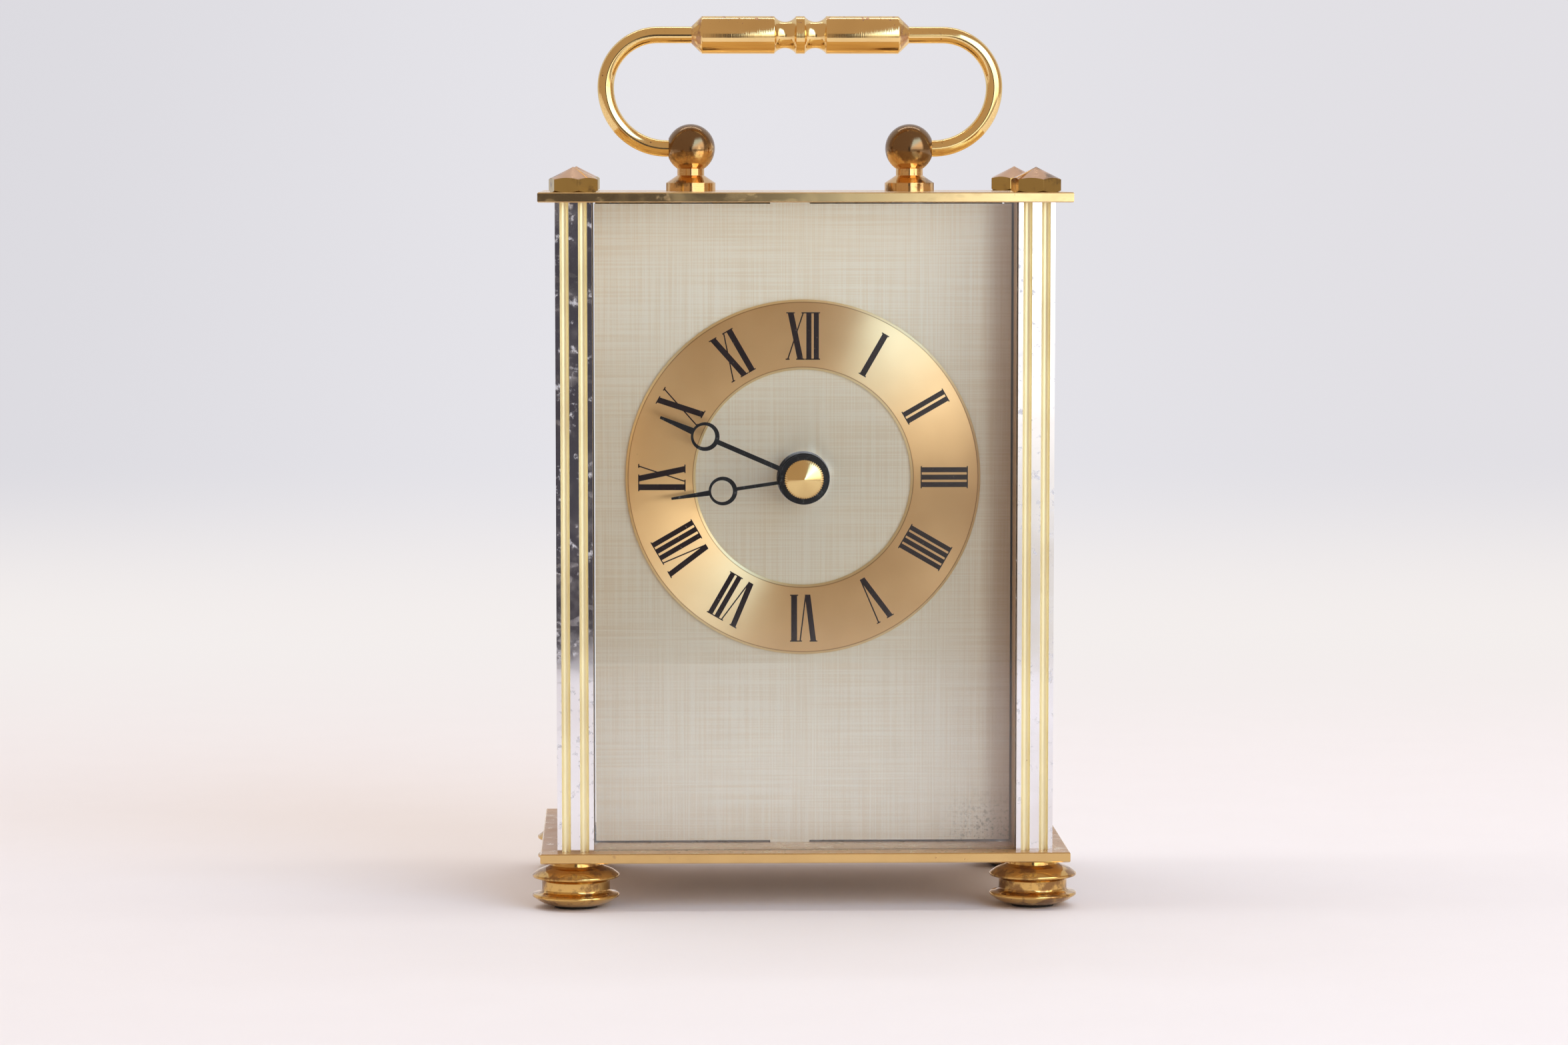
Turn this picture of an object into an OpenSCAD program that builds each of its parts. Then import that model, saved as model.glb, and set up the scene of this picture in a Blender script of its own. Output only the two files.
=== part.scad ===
// Small quartz mantel clock in the carriage style: two brass plates tied
// together through four square pillars, a bail handle in two ball posts,
// turned feet, a front glass, a linen-grained dial and a hinged rear door.
// X points to the viewer's right, the dial faces -Y, Z is up and the origin
// is on the table under the middle of the clock. Sizes are in millimetres.

/* [Plates] */
// Width of the top and base plates
plate_w = 80; // [78:1:100]
// Depth of the top and base plates
plate_d = 55; // [54:1:70]
// Thickness of both plates
plate_t = 1.5; // [1.5:0.1:3]
// Bevel round the plates' edges
plate_bevel = 0.15; // [0.05:0.05:0.4]

/* [Pillars] */
// Length of the pillars between the plates
pillar_h = 97.8; // [94:0.2:130]
// Side of the square pillar section
pillar_s = 5.5; // [5.3:0.1:6.5]
// Distance from a plate's edge to a pillar's centre
pillar_in = 5.3; // [4.5:0.1:6]
// Diameter of the gilt flutes cut into a pillar's outer face
flute_d = 1.3; // [0.8:0.1:1.5]
// Distance between the two flutes of a pillar
flute_pitch = 2.75; // [2.2:0.05:3]
// Diameter of the tie rod inside a pillar
rod_d = 3; // [2:0.1:3.1]
// Radial clearance of the tie rods in pillars and plates
rod_clear = 0.05; // [0.02:0.01:0.1]

/* [Feet] */
// Height of a turned foot without its pad
foot_h = 6.8; // [6.4:0.1:9]
// Radius of the two rims of a foot
foot_rim_r = 6.6; // [6:0.1:8]
// Rounding of a rim's edge
foot_rim_edge = 0.3; // [0.2:0.05:0.5]
// Height of the lower rim above the foot's underside
foot_low_rim = 1.49; // [1.2:0.1:1.8]
// Distance from the lower rim up to the upper rim
foot_rim_step = 3.0; // [2.6:0.1:3.3]
// Radius of the waist between the rims
foot_waist_r = 5.2; // [4.6:0.1:5.5]
// Radius of a foot at its two ends
foot_end_r = 3.9; // [3.6:0.1:4.2]
// Radius of the pad under a foot
pad_r = 3.2; // [2.5:0.1:3.4]
// Thickness of the pad
pad_t = 0.8; // [0.6:0.1:1.2]
// How far the pad stands out of its foot
pad_proud = 0.4; // [0.2:0.1:0.5]

/* [Corner finials] */
// Width across the flats of a finial
finial_af = 6.66; // [6:0.1:8]
// Height of the hexagonal part at its corners
finial_hex_h = 1.9; // [1.5:0.1:3]
// Height of the cone above it
finial_cone_h = 1.9; // [1.5:0.1:3]
// Chamfer at the foot of the corners
finial_chamfer = 0.25; // [0.1:0.05:0.4]
// Turn of the tightened finials about their rods
finial_turn = 13; // [0:1:60]

/* [Handle posts] */
// Distance from the middle to a post
post_x = 16.85; // [12:0.1:20]
// Radius of the post's flange
flange_r = 3.82; // [3.2:0.1:4.5]
// Height of the flange
flange_h = 1.28; // [0.8:0.1:2]
// Height of the cone between flange and neck
post_cone_h = 1.15; // [0.6:0.1:2]
// Radius of the neck
neck_r = 2.09; // [1.8:0.1:2.6]
// Height of the ball's centre above the plate
ball_up = 6.56; // [6.4:0.1:8]
// Radius of the ball
ball_r = 3.74; // [3.4:0.1:4]
// Distance from the ball's centre to the flat round the rod
ball_flat = 3.4; // [3.2:0.05:3.6]
// Diameter of the stem through the top plate
stem_d = 3; // [2.5:0.1:3.5]
// Width across the flats of the nut under the plate
post_nut_af = 5.5; // [5:0.1:7]
// Height of that nut
post_nut_h = 1.8; // [1.4:0.1:2.4]

/* [Bail handle] */
// Diameter of the bail's rod
bail_d = 2.55; // [2.2:0.05:3]
// Distance from the middle to the rod's outermost centreline
bail_x = 29.9; // [29:0.1:32]
// Rise from the pivot line to the grip's centreline
bail_rise = 17.35; // [17:0.05:20]
// Radius of the upper bend
bend_up = 8; // [7:0.1:8.5]
// How far the rod reaches past the ball's centre
pivot_past = 1; // [0.5:0.1:2]
// Radial running clearance of the rod in the ball
pivot_clear = 0.05; // [0.02:0.01:0.1]
// Length of the grip
grip_l = 33.4; // [30:0.1:36]
// Diameter of the grip
grip_d = 5.8; // [5.2:0.1:6]
// Length of the cone at each end of the grip
grip_cone = 1.6; // [1:0.1:2.5]
// Distance from the grip's middle to a waist's outer end
waist_out = 4; // [3.6:0.1:5]
// Half width of the bead in the middle
waist_in = 0.65; // [0.4:0.05:1]
// Depth of the waists
waist_deep = 0.87; // [0.4:0.01:1]
// How deep the rods are pressed into the grip
grip_seat = 9; // [6:0.5:12]

/* [Glass and sides] */
// Thickness of the front glass
glass_t = 2; // [1.8:0.1:2.2]
// Distance from the pillars' front down to the glass
glass_in = 1.5; // [1.2:0.05:1.6]
// Depth of the glass's groove in a pillar
glass_groove = 0.8; // [0.4:0.05:0.85]
// Thickness of the side panels
side_t = 1; // [0.6:0.1:1.1]
// Depth of the step in a pillar that a side panel lies in
side_step = 0.6; // [0.4:0.05:0.8]
// Clearance of sheets and glass in their grooves
sheet_clear = 0.05; // [0.02:0.01:0.1]

/* [Rear door] */
// Thickness of the door's sheet
door_t = 1.2; // [1:0.1:1.4]
// Radius of the rolled hinge edge
knuckle_r = 1; // [0.95:0.05:1.1]
// Distance from the pillars' back in to the door's hinge line
door_in = 1.75; // [1.6:0.05:2]
// Gap between the door and the pillars at its sides
door_gap = 0.15; // [0.1:0.05:0.4]
// Gap between the door and the plates
door_end_gap = 0.3; // [0.2:0.05:0.5]
// Diameter of the hinge pins
pin_d = 1.1; // [0.9:0.05:1.2]
// Radial running clearance of the pins in the door
pin_clear = 0.05; // [0.02:0.01:0.1]
// Length of a pin that stands out of its plate
pin_out = 3; // [2:0.1:5]
// Depth to which pins and tabs are let into the plates
let_in = 1; // [0.8:0.1:1.2]
// Diameter of the door's knob
door_knob_d = 5; // [4:0.1:7]
// Length of the knob outside the door
door_knob_l = 4.5; // [3:0.1:6]
// Distance from the door's free edge to its knob
door_knob_in = 5; // [4:0.5:10]
// Diameter of the two pegs that stop the door
peg_d = 1.5; // [1:0.1:2]
// Length of a peg that stands out of its plate
peg_out = 3; // [2:0.1:4]

/* [Dial] */
// Distance from the plates' front edge to the dial's face
dial_in = 18; // [17:0.1:19]
// Thickness of the dial plate
dial_t = 0.8; // [0.6:0.1:1.2]
// Height of the hands' axis above the base plate
dial_up = 56; // [50:0.5:60]
// Gap round the dial plate
dial_gap = 0.3; // [0.1:0.05:0.4]
// Width of the dial's locating tabs
tab_w = 6; // [4:0.5:8]
// Sideways place of the tabs
tab_x = -2; // [-10:0.5:10]
// Outer radius of the chapter ring
ring_ro = 27.03; // [24:0.1:29]
// Inner radius of the chapter ring
ring_ri = 16.4; // [14:0.1:19]
// Thickness of the chapter ring
ring_t = 0.8; // [0.5:0.1:1.2]
// Width of the polished bevels of the ring
ring_bevel = 0.4; // [0.2:0.05:0.6]

/* [Hands] */
// Thickness of the two hands
hand_t = 0.3; // [0.2:0.05:0.5]
// Height of the hour hand's face above the dial
hour_lift = 6.3; // [5:0.1:6.8]
// Height of the minute hand's face above the dial
minute_lift = 7.3; // [7.2:0.1:8]
// Clock angle that the hour hand shows, clockwise from twelve
hour_angle = 261.6; // [0:0.1:359.9]
// Clock angle that the minute hand shows, clockwise from twelve
minute_angle = 293.4; // [0:0.1:359.9]
// Length of the hour hand
hour_len = 20.3; // [18:0.1:22]
// Length of the minute hand
minute_len = 23.7; // [22:0.1:26]
// Distance from the axis to the hour hand's open ring
hour_ring_at = 12.4; // [10:0.1:14]
// Distance from the axis to the minute hand's open ring
minute_ring_at = 16.3; // [14:0.1:18]
// Outer diameter of the open rings
hand_ring_d = 4.35; // [4:0.05:5]
// Diameter of the hole in the open rings
hand_hole_d = 3.3; // [2.8:0.05:3.6]
// How far that hole lies off the ring's centre
hand_hole_off = 0.15; // [0:0.05:0.3]
// Radius of the hour hand's hub
hour_hub_r = 3.9; // [3.3:0.1:4.5]
// Radius of the minute hand's hub
minute_hub_r = 3.7; // [3:0.1:4.2]
// Diameter of the knurled hand nut
nut_d = 5.97; // [5:0.1:7]
// Height of the nut's knurled rim
nut_rim_h = 1; // [0.6:0.1:1.4]
// Height of the nut's cone
nut_cone_h = 1.4; // [1:0.1:1.8]
// Number of knurls
nut_knurls = 52; // [36:1:64]

/* [Movement case] */
// Width and height of the quartz movement
case_w = 56; // [56:0.5:60]
// Depth of the movement
case_d = 15.8; // [15.6:0.1:18]
// Wall of the moulded case
case_wall = 1.2; // [1:0.1:1.4]
// Thickness of the rubber washer behind the dial
washer_t = 0.8; // [0.5:0.1:1.5]
// Outer diameter of that washer
washer_d = 14; // [10:0.5:18]
// Outer diameter of the threaded centre tube
tube_d = 6.4; // [6.2:0.1:7]
// Bore of the centre tube
tube_bore = 5.1; // [5.1:0.05:5.4]
// Diameter of the round nut on the centre tube
tube_nut_d = 8.1; // [7.6:0.1:9]
// Thickness of that nut
tube_nut_t = 1.6; // [1:0.1:2]
// Diameter of the battery
cell_d = 14.5; // [13:0.1:14.5]
// Length of the battery's can
cell_l = 49.2; // [40:0.1:50]
// Clearance round the battery
cell_clear = 0.2; // [0.1:0.05:0.3]
// Length of the battery's raised end
nub_l = 1.2; // [0.8:0.1:1.5]
// Diameter of the battery's raised end
nub_d = 5.5; // [4:0.1:6]
// Thickness of the battery contacts
contact_t = 0.4; // [0.2:0.05:0.5]
// Length of the cover screws under the cover's face
screw_l = 4.5; // [3:0.1:6]
// Core diameter of the cover screws
screw_core = 1.6; // [1.2:0.1:1.8]
// Diameter of the screws' heads
screw_head_d = 3.2; // [2.6:0.1:4]
// Height of the screws' heads
screw_head_h = 1; // [0.6:0.1:1.4]
// Diameter of the setting knob at the back
set_knob_d = 12; // [10:0.5:13]
// Height of the setting knob
set_knob_h = 3.2; // [2:0.1:4]

/* [Motion work] */
// Tooth size of the pair that the minute arbor drives
minute_mod = 0.5; // [0.45:0.01:0.53]
// Thickness of the motion work's wheels
motion_t = 0.8; // [0.6:0.05:0.9]
// Teeth of the minute arbor's pinion and of the setting pinion
minute_teeth = 12; // [10:1:14]
// Teeth of the motion wheel
motion_teeth = 36; // [32:1:38]
// Teeth of the motion wheel's pinion
motion_pinion_teeth = 10; // [8:1:12]
// Teeth of the hour wheel
hour_teeth = 40; // [36:1:44]
// Direction of the motion wheel's stud from the hands' axis
motion_dir = 60; // [50:1:75]

/* [Going train] */
// Tooth size of the going train
train_mod = 0.3; // [0.27:0.01:0.3]
// Thickness of the going train's wheels
train_wheel_t = 0.6; // [0.4:0.05:0.7]
// Clearance between one layer of wheels and the next
layer_gap = 0.4; // [0.3:0.05:0.45]
// Teeth of the rotor's pinion
rotor_teeth = 12; // [10:1:14]
// Teeth of the fifth, seconds and third wheels
wheel_teeth = 60; // [60:1:62]
// Teeth of the fifth wheel's pinion
fifth_pinion_teeth = 10; // [8:1:12]
// Teeth of the seconds and third wheels' pinions
leaf_teeth = 8; // [7:1:8]
// Teeth of the drive wheel on the minute arbor
drive_teeth = 64; // [58:1:64]
// Direction of the third wheel from the hands' axis
third_dir = 160; // [150:1:165]
// Direction of the fifth wheel from the hands' axis
fifth_dir = 40; // [32:1:44]
// Direction of the rotor from the fifth wheel
rotor_dir = -60; // [-62:1:-50]
// Diameter of the train's arbors
arbor_d = 0.8; // [0.6:0.05:0.9]
// Radial running clearance of arbors and pipes
run_clear = 0.05; // [0.03:0.01:0.06]
// Diameter of the rotor's magnet
magnet_d = 5.6; // [5:0.1:5.8]
// Thickness of the train plate and of the bridge
bridge_t = 1; // [0.8:0.05:1.1]

/* [Hidden] */
$fn = 64;

sliver = 0.01;                                  // overlap of cuts past a face

// Main levels and places
px = plate_w/2 - pillar_in;                     // pillar centres
py = plate_d/2 - pillar_in;
base_z = pad_proud + foot_h;                    // underside of the base plate
floor_z = base_z + plate_t;                     // top of the base plate
ceil_z = floor_z + pillar_h;                    // underside of the top plate
top_z = ceil_z + plate_t;                       // top of the top plate
inner_x = px - pillar_s/2;                      // inner faces of the pillars
front_y = -(py + pillar_s/2);                   // front faces of the pillars
rod_in_foot = 4;                                // thread length in a foot
rod_in_finial = 2.3;                            // thread length in a finial
thread_clear = 0.02;                            // a screwed or pressed joint's slack

// Handle
pivot_z = top_z + ball_up;
bend_low = bail_rise - bend_up;                 // the two bends meet without a straight

// Dial and movement
dial_y = -plate_d/2 + dial_in;
dial_z = floor_z + dial_up;
case_at = dial_t + washer_t;                    // case front, behind the dial's face
case_half = case_w/2;
room_half = case_half - case_wall;              // inside of the case walls
room_at = case_at + case_wall;                  // inner face of the case's floor
case_back = case_at + case_d;
cover_at = case_back - case_wall;
bay_h = cell_d + 2*cell_clear;                  // battery bay at the case's foot
bay_top = -room_half + bay_h;
room_low = bay_top + case_wall;                 // gear room's lowest point
cell_z = (bay_top - room_half)/2;

// Layers of the gear room, as depths behind the dial's face
hour_at = room_at + 0.3;                        // hour wheel and motion pinion
motion_gap = 0.4;                               // between the two motion layers
motion_at = hour_at + motion_t + motion_gap;    // motion wheel, minute and setting pinions
plate_at = motion_at + motion_t + layer_gap;    // train plate
drive_at = plate_at + bridge_t + layer_gap;     // drive wheel and third pinion
layer = train_wheel_t + layer_gap;
third_at = drive_at + layer;                    // third wheel and seconds pinion
seconds_at = third_at + layer;                  // seconds wheel and fifth pinion
fifth_at = seconds_at + layer;                  // fifth wheel and rotor pinion
magnet_at = fifth_at + train_wheel_t + 0.5;
magnet_t = 1.5;
stator_at = magnet_at + 0.35;
stator_t = 0.8;
bridge_at = magnet_at + magnet_t + 0.5;         // rear bridge

// Gear geometry
function reach(n1, n2, m) = (n1 + n2)*m/2;      // distance between two gears' axes
function at(r, a) = [r*cos(a), r*sin(a)];
motion_reach = reach(minute_teeth, motion_teeth, minute_mod);
hour_mod = 2*motion_reach/(hour_teeth + motion_pinion_teeth);
drive_reach = reach(drive_teeth, leaf_teeth, train_mod);
third_mod = 2*drive_reach/(wheel_teeth + leaf_teeth);
fifth_reach = reach(wheel_teeth, fifth_pinion_teeth, train_mod);
rotor_reach = reach(wheel_teeth, rotor_teeth, train_mod);
motion_pos = at(motion_reach, motion_dir);
set_dir = 180 - motion_dir;                     // puts the setting knob over the hands' axis
set_pos = motion_pos + at(motion_reach, set_dir);
third_pos = at(drive_reach, third_dir);
fifth_pos = at(fifth_reach, fifth_dir);
rotor_pos = fifth_pos + at(rotor_reach, rotor_dir);

// Turn of a gear of n2 teeth that meshes with one of n1 teeth turned by a1,
// when the line from the first axis to the second points along dir.
function mesh_turn(dir, n1, a1, n2) = dir + 180 - 180/n2 + (dir - a1)*n1/n2;
minute_turn = 0;
motion_turn = mesh_turn(motion_dir, minute_teeth, minute_turn, motion_teeth);
set_turn = mesh_turn(set_dir, motion_teeth, motion_turn, minute_teeth);
hour_turn = mesh_turn(motion_dir + 180, motion_pinion_teeth, motion_turn, hour_teeth);
drive_turn = 0;
third_turn = mesh_turn(third_dir, drive_teeth, drive_turn, leaf_teeth);
seconds_turn = mesh_turn(third_dir + 180, wheel_teeth, third_turn, leaf_teeth);
fifth_turn = mesh_turn(fifth_dir, wheel_teeth, seconds_turn, fifth_pinion_teeth);
rotor_turn = mesh_turn(rotor_dir, wheel_teeth, fifth_turn, rotor_teeth);

// Tooth shapes: [height over pitch, depth under it, half thickness, flank slope]
wheel_tooth = [0.8, 1.25, 0.19*PI, 0.3];
leaf_tooth = [0.7, 1.3, 0.18*PI, 0.08];

// ---- shared shapes ----

// Points of an arc about c from angle a0 to a1
function arc(c, r, a0, a1, steps = 8) =
  [for (i = [0:steps]) let (a = a0 + (a1 - a0)*i/steps) c + at(r, a)];

// Outline of a gear: straight-flanked teeth on a root circle
function gear_points(n, m, tooth) =
  let (rp = n*m/2, root = rp - tooth[1]*m, tip = rp + tooth[0]*m,
       root_half = (tooth[2] + tooth[1]*tooth[3])*m,
       tip_half = (tooth[2] - tooth[0]*tooth[3])*m,
       ra = root_half/root*180/PI, ta = tip_half/tip*180/PI)
  [for (i = [0:n-1]) let (a = 360*i/n)
    each [at(root, a - ra), at(tip, a - ta), at(tip, a + ta), at(root, a + ra)]];

module gear(n, m, tooth, turn) {
  rotate(turn) polygon(gear_points(n, m, tooth));
}

// Outline drawn as seen from the front, made into a sheet h thick whose front
// face lies d behind the dial's face
module behind(d, h) {
  translate([0, dial_y + d + h, dial_z]) rotate([90, 0, 0]) linear_extrude(h) children();
}

// Round bar along Y between two depths behind the dial's face
module bar(pos, d0, d1, dia) {
  behind(d0, d1 - d0) translate(pos) circle(d = dia);
}

module bar_tube(pos, d0, d1, outer, bore) {
  behind(d0, d1 - d0) translate(pos) difference() {
    circle(d = outer);
    circle(d = bore);
  }
}

module at_corners() {
  for (sx = [-1, 1], sy = [-1, 1]) translate([sx*px, sy*py, 0]) children();
}

// ---- plates ----

module bevelled_side(w, t, b) {
  polygon([[-w/2 + b, 0], [w/2 - b, 0], [w/2, b], [w/2, t - b],
           [w/2 - b, t], [-w/2 + b, t], [-w/2, t - b], [-w/2, b]]);
}

// Sheet brass plate with bevelled edges and the four rod holes
module corner_plate() {
  difference() {
    intersection() {
      translate([0, plate_d/2, 0]) rotate([90, 0, 0])
        linear_extrude(plate_d) bevelled_side(plate_w, plate_t, plate_bevel);
      translate([-plate_w/2, 0, 0]) rotate([90, 0, 90])
        linear_extrude(plate_w) bevelled_side(plate_d, plate_t, plate_bevel);
    }
    at_corners() translate([0, 0, -sliver])
      cylinder(d = rod_d + 2*rod_clear, h = plate_t + 2*sliver);
  }
}

// Slot for the dial's tab, hinge pin hole and peg hole, let into a plate from z up
module plate_sockets(z) {
  translate([tab_x - tab_w/2 - sheet_clear, dial_y - sheet_clear, z])
    cube([tab_w + 2*sheet_clear, dial_t + 2*sheet_clear, let_in + sliver]);
  translate([hinge_x, hinge_y, z]) cylinder(d = pin_d + 2*thread_clear, h = let_in + sliver);
  translate([peg_x, peg_y, z]) cylinder(d = peg_d + 2*thread_clear, h = let_in + sliver);
}

module base_plate() {
  color("goldenrod") difference() {
    translate([0, 0, base_z]) corner_plate();
    plate_sockets(floor_z - let_in);
  }
}

module top_plate() {
  color("goldenrod") difference() {
    translate([0, 0, ceil_z]) corner_plate();
    plate_sockets(ceil_z - sliver);
    for (s = [-1, 1]) translate([s*post_x, 0, ceil_z - sliver])
      cylinder(d = stem_d + 2*rod_clear, h = plate_t + 2*sliver);
  }
}

// ---- pillars ----

glass_y = front_y + glass_in;                   // front face of the glass

// Section of the front left pillar, inner side towards +X, back towards +Y
module pillar_section(grooved) {
  half = pillar_s/2;
  difference() {
    square(pillar_s, center = true);
    circle(d = rod_d + 2*rod_clear);
    for (s = [-1, 1]) translate([s*flute_pitch/2, -half]) circle(d = flute_d);
    translate([half - side_t - sheet_clear, half - side_step])
      square([side_t + sheet_clear + sliver, side_step + sliver]);
    if (grooved)
      translate([half - glass_groove, -half + glass_in - sheet_clear])
        square([glass_groove + sliver, glass_t + 2*sheet_clear]);
  }
}

// A pillar at the corner given by the signs sx and sy
module pillar(sx, sy) {
  color("silver") translate([sx*px, sy*py, floor_z]) mirror([sx > 0 ? 1 : 0, 0, 0])
    mirror([0, sy > 0 ? 1 : 0, 0]) linear_extrude(pillar_h) pillar_section(sy < 0);
}

module tie_rods() {
  color("gray") at_corners() translate([0, 0, base_z - rod_in_foot])
    cylinder(d = rod_d, h = rod_in_foot + 2*plate_t + pillar_h + rod_in_finial);
}

// ---- finials and feet ----

finial_h = finial_hex_h + finial_cone_h;
finial_r = finial_af/2/cos(30);                 // radius at the corners

// Hexagonal nut, coned on a lathe so that its flats end in arches
module finial(sx, sy) {
  color("darkgoldenrod") translate([sx*px, sy*py, top_z]) difference() {
    intersection() {
      rotate([0, 0, 90 - sy*finial_turn]) cylinder(r = finial_r, h = finial_h, $fn = 6);
      rotate_extrude() polygon([[0, 0], [finial_r - 2*finial_chamfer, 0],
        [finial_r, finial_chamfer], [finial_r, finial_hex_h], [0, finial_h]]);
    }
    translate([0, 0, -sliver])
      cylinder(d = rod_d + 2*thread_clear, h = rod_in_finial + thread_clear + sliver);
  }
}

foot_high_rim = foot_low_rim + foot_rim_step;
foot_groove = 0.75;                             // from a rim's edge to the straight waist
foot_neck = 0.6;                                // straight neck under the plate

module foot(sx, sy) {
  tip = foot_rim_r - foot_rim_edge;
  color("goldenrod") translate([sx*px, sy*py, pad_proud]) difference() {
    rotate_extrude() polygon(concat(
      [[0, 0], [foot_end_r, 0]],
      arc([tip, foot_low_rim], foot_rim_edge, -65, 65),
      [[foot_waist_r, foot_low_rim + foot_groove], [foot_waist_r, foot_high_rim - foot_groove]],
      arc([tip, foot_high_rim], foot_rim_edge, -65, 60),
      [[foot_end_r, foot_h - foot_neck], [foot_end_r, foot_h], [0, foot_h]]));
    translate([0, 0, foot_h - rod_in_foot - thread_clear])
      cylinder(d = rod_d + 2*thread_clear, h = rod_in_foot + thread_clear + sliver);
    translate([0, 0, -sliver]) cylinder(r = pad_r + thread_clear, h = pad_t - pad_proud + sliver);
  }
}

module foot_pads() {
  color("black") at_corners() cylinder(r = pad_r, h = pad_t);
}

// ---- glass and sides ----

module front_glass() {
  w = 2*(inner_x + glass_groove - sheet_clear);
  color("lightcyan", 0.35) translate([-w/2, glass_y, floor_z]) cube([w, glass_t, pillar_h]);
}

// Brass sheet lying in the steps of a front and a rear pillar
module side_panel(sx) {
  d = 2*(py - pillar_s/2 + side_step - sheet_clear);
  color("peru") translate([sx*(inner_x + side_t/2), 0, floor_z + pillar_h/2])
    cube([side_t, d, pillar_h], center = true);
}

// ---- rear door ----

hinge_x = inner_x - door_gap - knuckle_r;
hinge_y = -front_y - door_in;
door_free_x = -(inner_x - 2*door_gap);          // the free edge
door_low = floor_z + door_end_gap;
door_h = pillar_h - 2*door_end_gap;
door_knob_x = door_free_x + door_knob_in;
door_stem_d = 2;
peg_x = door_free_x + 2*peg_d;
peg_gap = 0.1;                                  // between the pegs and the closed door
peg_y = hinge_y - door_t/2 - peg_gap - peg_d/2;

module rear_door() {
  color("goldenrod") difference() {
    union() {
      translate([door_free_x, hinge_y - door_t/2, door_low])
        cube([hinge_x - door_free_x, door_t, door_h]);
      translate([hinge_x, hinge_y, door_low]) cylinder(r = knuckle_r, h = door_h);
    }
    for (z = [door_low - sliver, ceil_z - pin_out - pin_clear])
      translate([hinge_x, hinge_y, z])
        cylinder(d = pin_d + 2*pin_clear, h = pin_out + pin_clear - door_end_gap + sliver);
    translate([door_knob_x, hinge_y + door_t/2 + sliver, floor_z + pillar_h/2])
      rotate([90, 0, 0]) cylinder(d = door_stem_d + 2*thread_clear, h = door_t + 2*sliver);
  }
}

// Turned knob whose stem is riveted over inside the door
module door_knob() {
  neck = 0.28*door_knob_d;
  rivet = 0.4;
  color("gold") translate([door_knob_x, hinge_y + door_t/2, floor_z + pillar_h/2])
    rotate([-90, 0, 0]) {
      rotate_extrude() polygon(concat(
        [[0, 0], [door_knob_d*0.4, 0], [door_knob_d*0.4, 0.4], [neck, 0.8],
         [neck, door_knob_l*0.45], [door_knob_d/2, door_knob_l*0.6]],
        arc([door_knob_d/2 - 1, door_knob_l - 1], 1, 0, 90),
        [[0, door_knob_l]]));
      translate([0, 0, -door_t - rivet]) cylinder(d = door_stem_d, h = door_t + rivet + sliver);
      translate([0, 0, -door_t - rivet]) cylinder(d = door_stem_d + 1, h = rivet);
    }
}

module door_pins() {
  color("silver") for (z = [floor_z - let_in, ceil_z - pin_out])
    translate([hinge_x, hinge_y, z]) cylinder(d = pin_d, h = let_in + pin_out);
}

module door_pegs() {
  color("silver") for (z = [floor_z - let_in, ceil_z - peg_out])
    translate([peg_x, peg_y, z]) cylinder(d = peg_d, h = let_in + peg_out);
}

// ---- handle ----

post_hole_end = post_x - pivot_past - 0.2;      // blind end of the bore in a ball
stem_l = plate_t + post_nut_h + 0.4;

module handle_post(sx) {
  color("darkgoldenrod") difference() {
    translate([sx*post_x, 0, top_z]) {
      cylinder(r = flange_r, h = flange_h);
      translate([0, 0, flange_h]) cylinder(r1 = flange_r, r2 = neck_r, h = post_cone_h);
      cylinder(r = neck_r, h = ball_up);
      translate([0, 0, -stem_l]) cylinder(d = stem_d, h = stem_l + sliver);
      translate([0, 0, ball_up]) sphere(r = ball_r);
    }
    translate([sx*(post_x + ball_flat + ball_r/2), 0, pivot_z])
      cube([ball_r, 2*ball_r, 2*ball_r], center = true);
    translate([sx*post_hole_end, 0, pivot_z]) rotate([0, sx*90, 0])
      cylinder(d = bail_d + 2*pivot_clear, h = ball_r + pivot_past + 1);
  }
}

module post_nuts() {
  color("silver") for (s = [-1, 1]) translate([s*post_x, 0, ceil_z - post_nut_h])
    difference() {
      cylinder(d = post_nut_af/cos(30), h = post_nut_h, $fn = 6);
      translate([0, 0, -sliver])
        cylinder(d = stem_d + 2*thread_clear, h = post_nut_h + 2*sliver);
    }
}

// Rod from its pivot in a ball, round two bends and into the grip
module bail_rod(sx) {
  grip_end = grip_l/2 - grip_seat;
  low_x = bail_x - bend_low;
  up_x = bail_x - bend_up;
  color("gold") translate([0, 0, pivot_z]) mirror([sx < 0 ? 1 : 0, 0, 0]) {
    translate([post_x - pivot_past, 0, 0]) rotate([0, 90, 0])
      cylinder(d = bail_d, h = low_x - post_x + pivot_past);
    translate([low_x, 0, bend_low]) rotate([90, 0, 0]) rotate([0, 0, -90])
      rotate_extrude(angle = 90) translate([bend_low, 0]) circle(d = bail_d);
    translate([up_x, 0, bail_rise - bend_up]) rotate([90, 0, 0])
      rotate_extrude(angle = 90) translate([bend_up, 0]) circle(d = bail_d);
    translate([grip_end, 0, bail_rise]) rotate([0, 90, 0])
      cylinder(d = bail_d, h = up_x - grip_end);
  }
}

// Right half of the grip's outline as [distance along, radius]
waist_half = (waist_out - waist_in)/2;
waist_r = (pow(waist_half, 2) + pow(waist_deep, 2))/(2*waist_deep);
waist_turn = asin(waist_half/waist_r);
grip_side = concat(
  [[0, grip_d/2], [waist_in, grip_d/2]],
  arc([(waist_in + waist_out)/2, grip_d/2 - waist_deep + waist_r], waist_r,
      270 - waist_turn, 270 + waist_turn),
  [[grip_l/2 - grip_cone, grip_d/2], [grip_l/2, bail_d/2 + 0.05]]);

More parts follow.
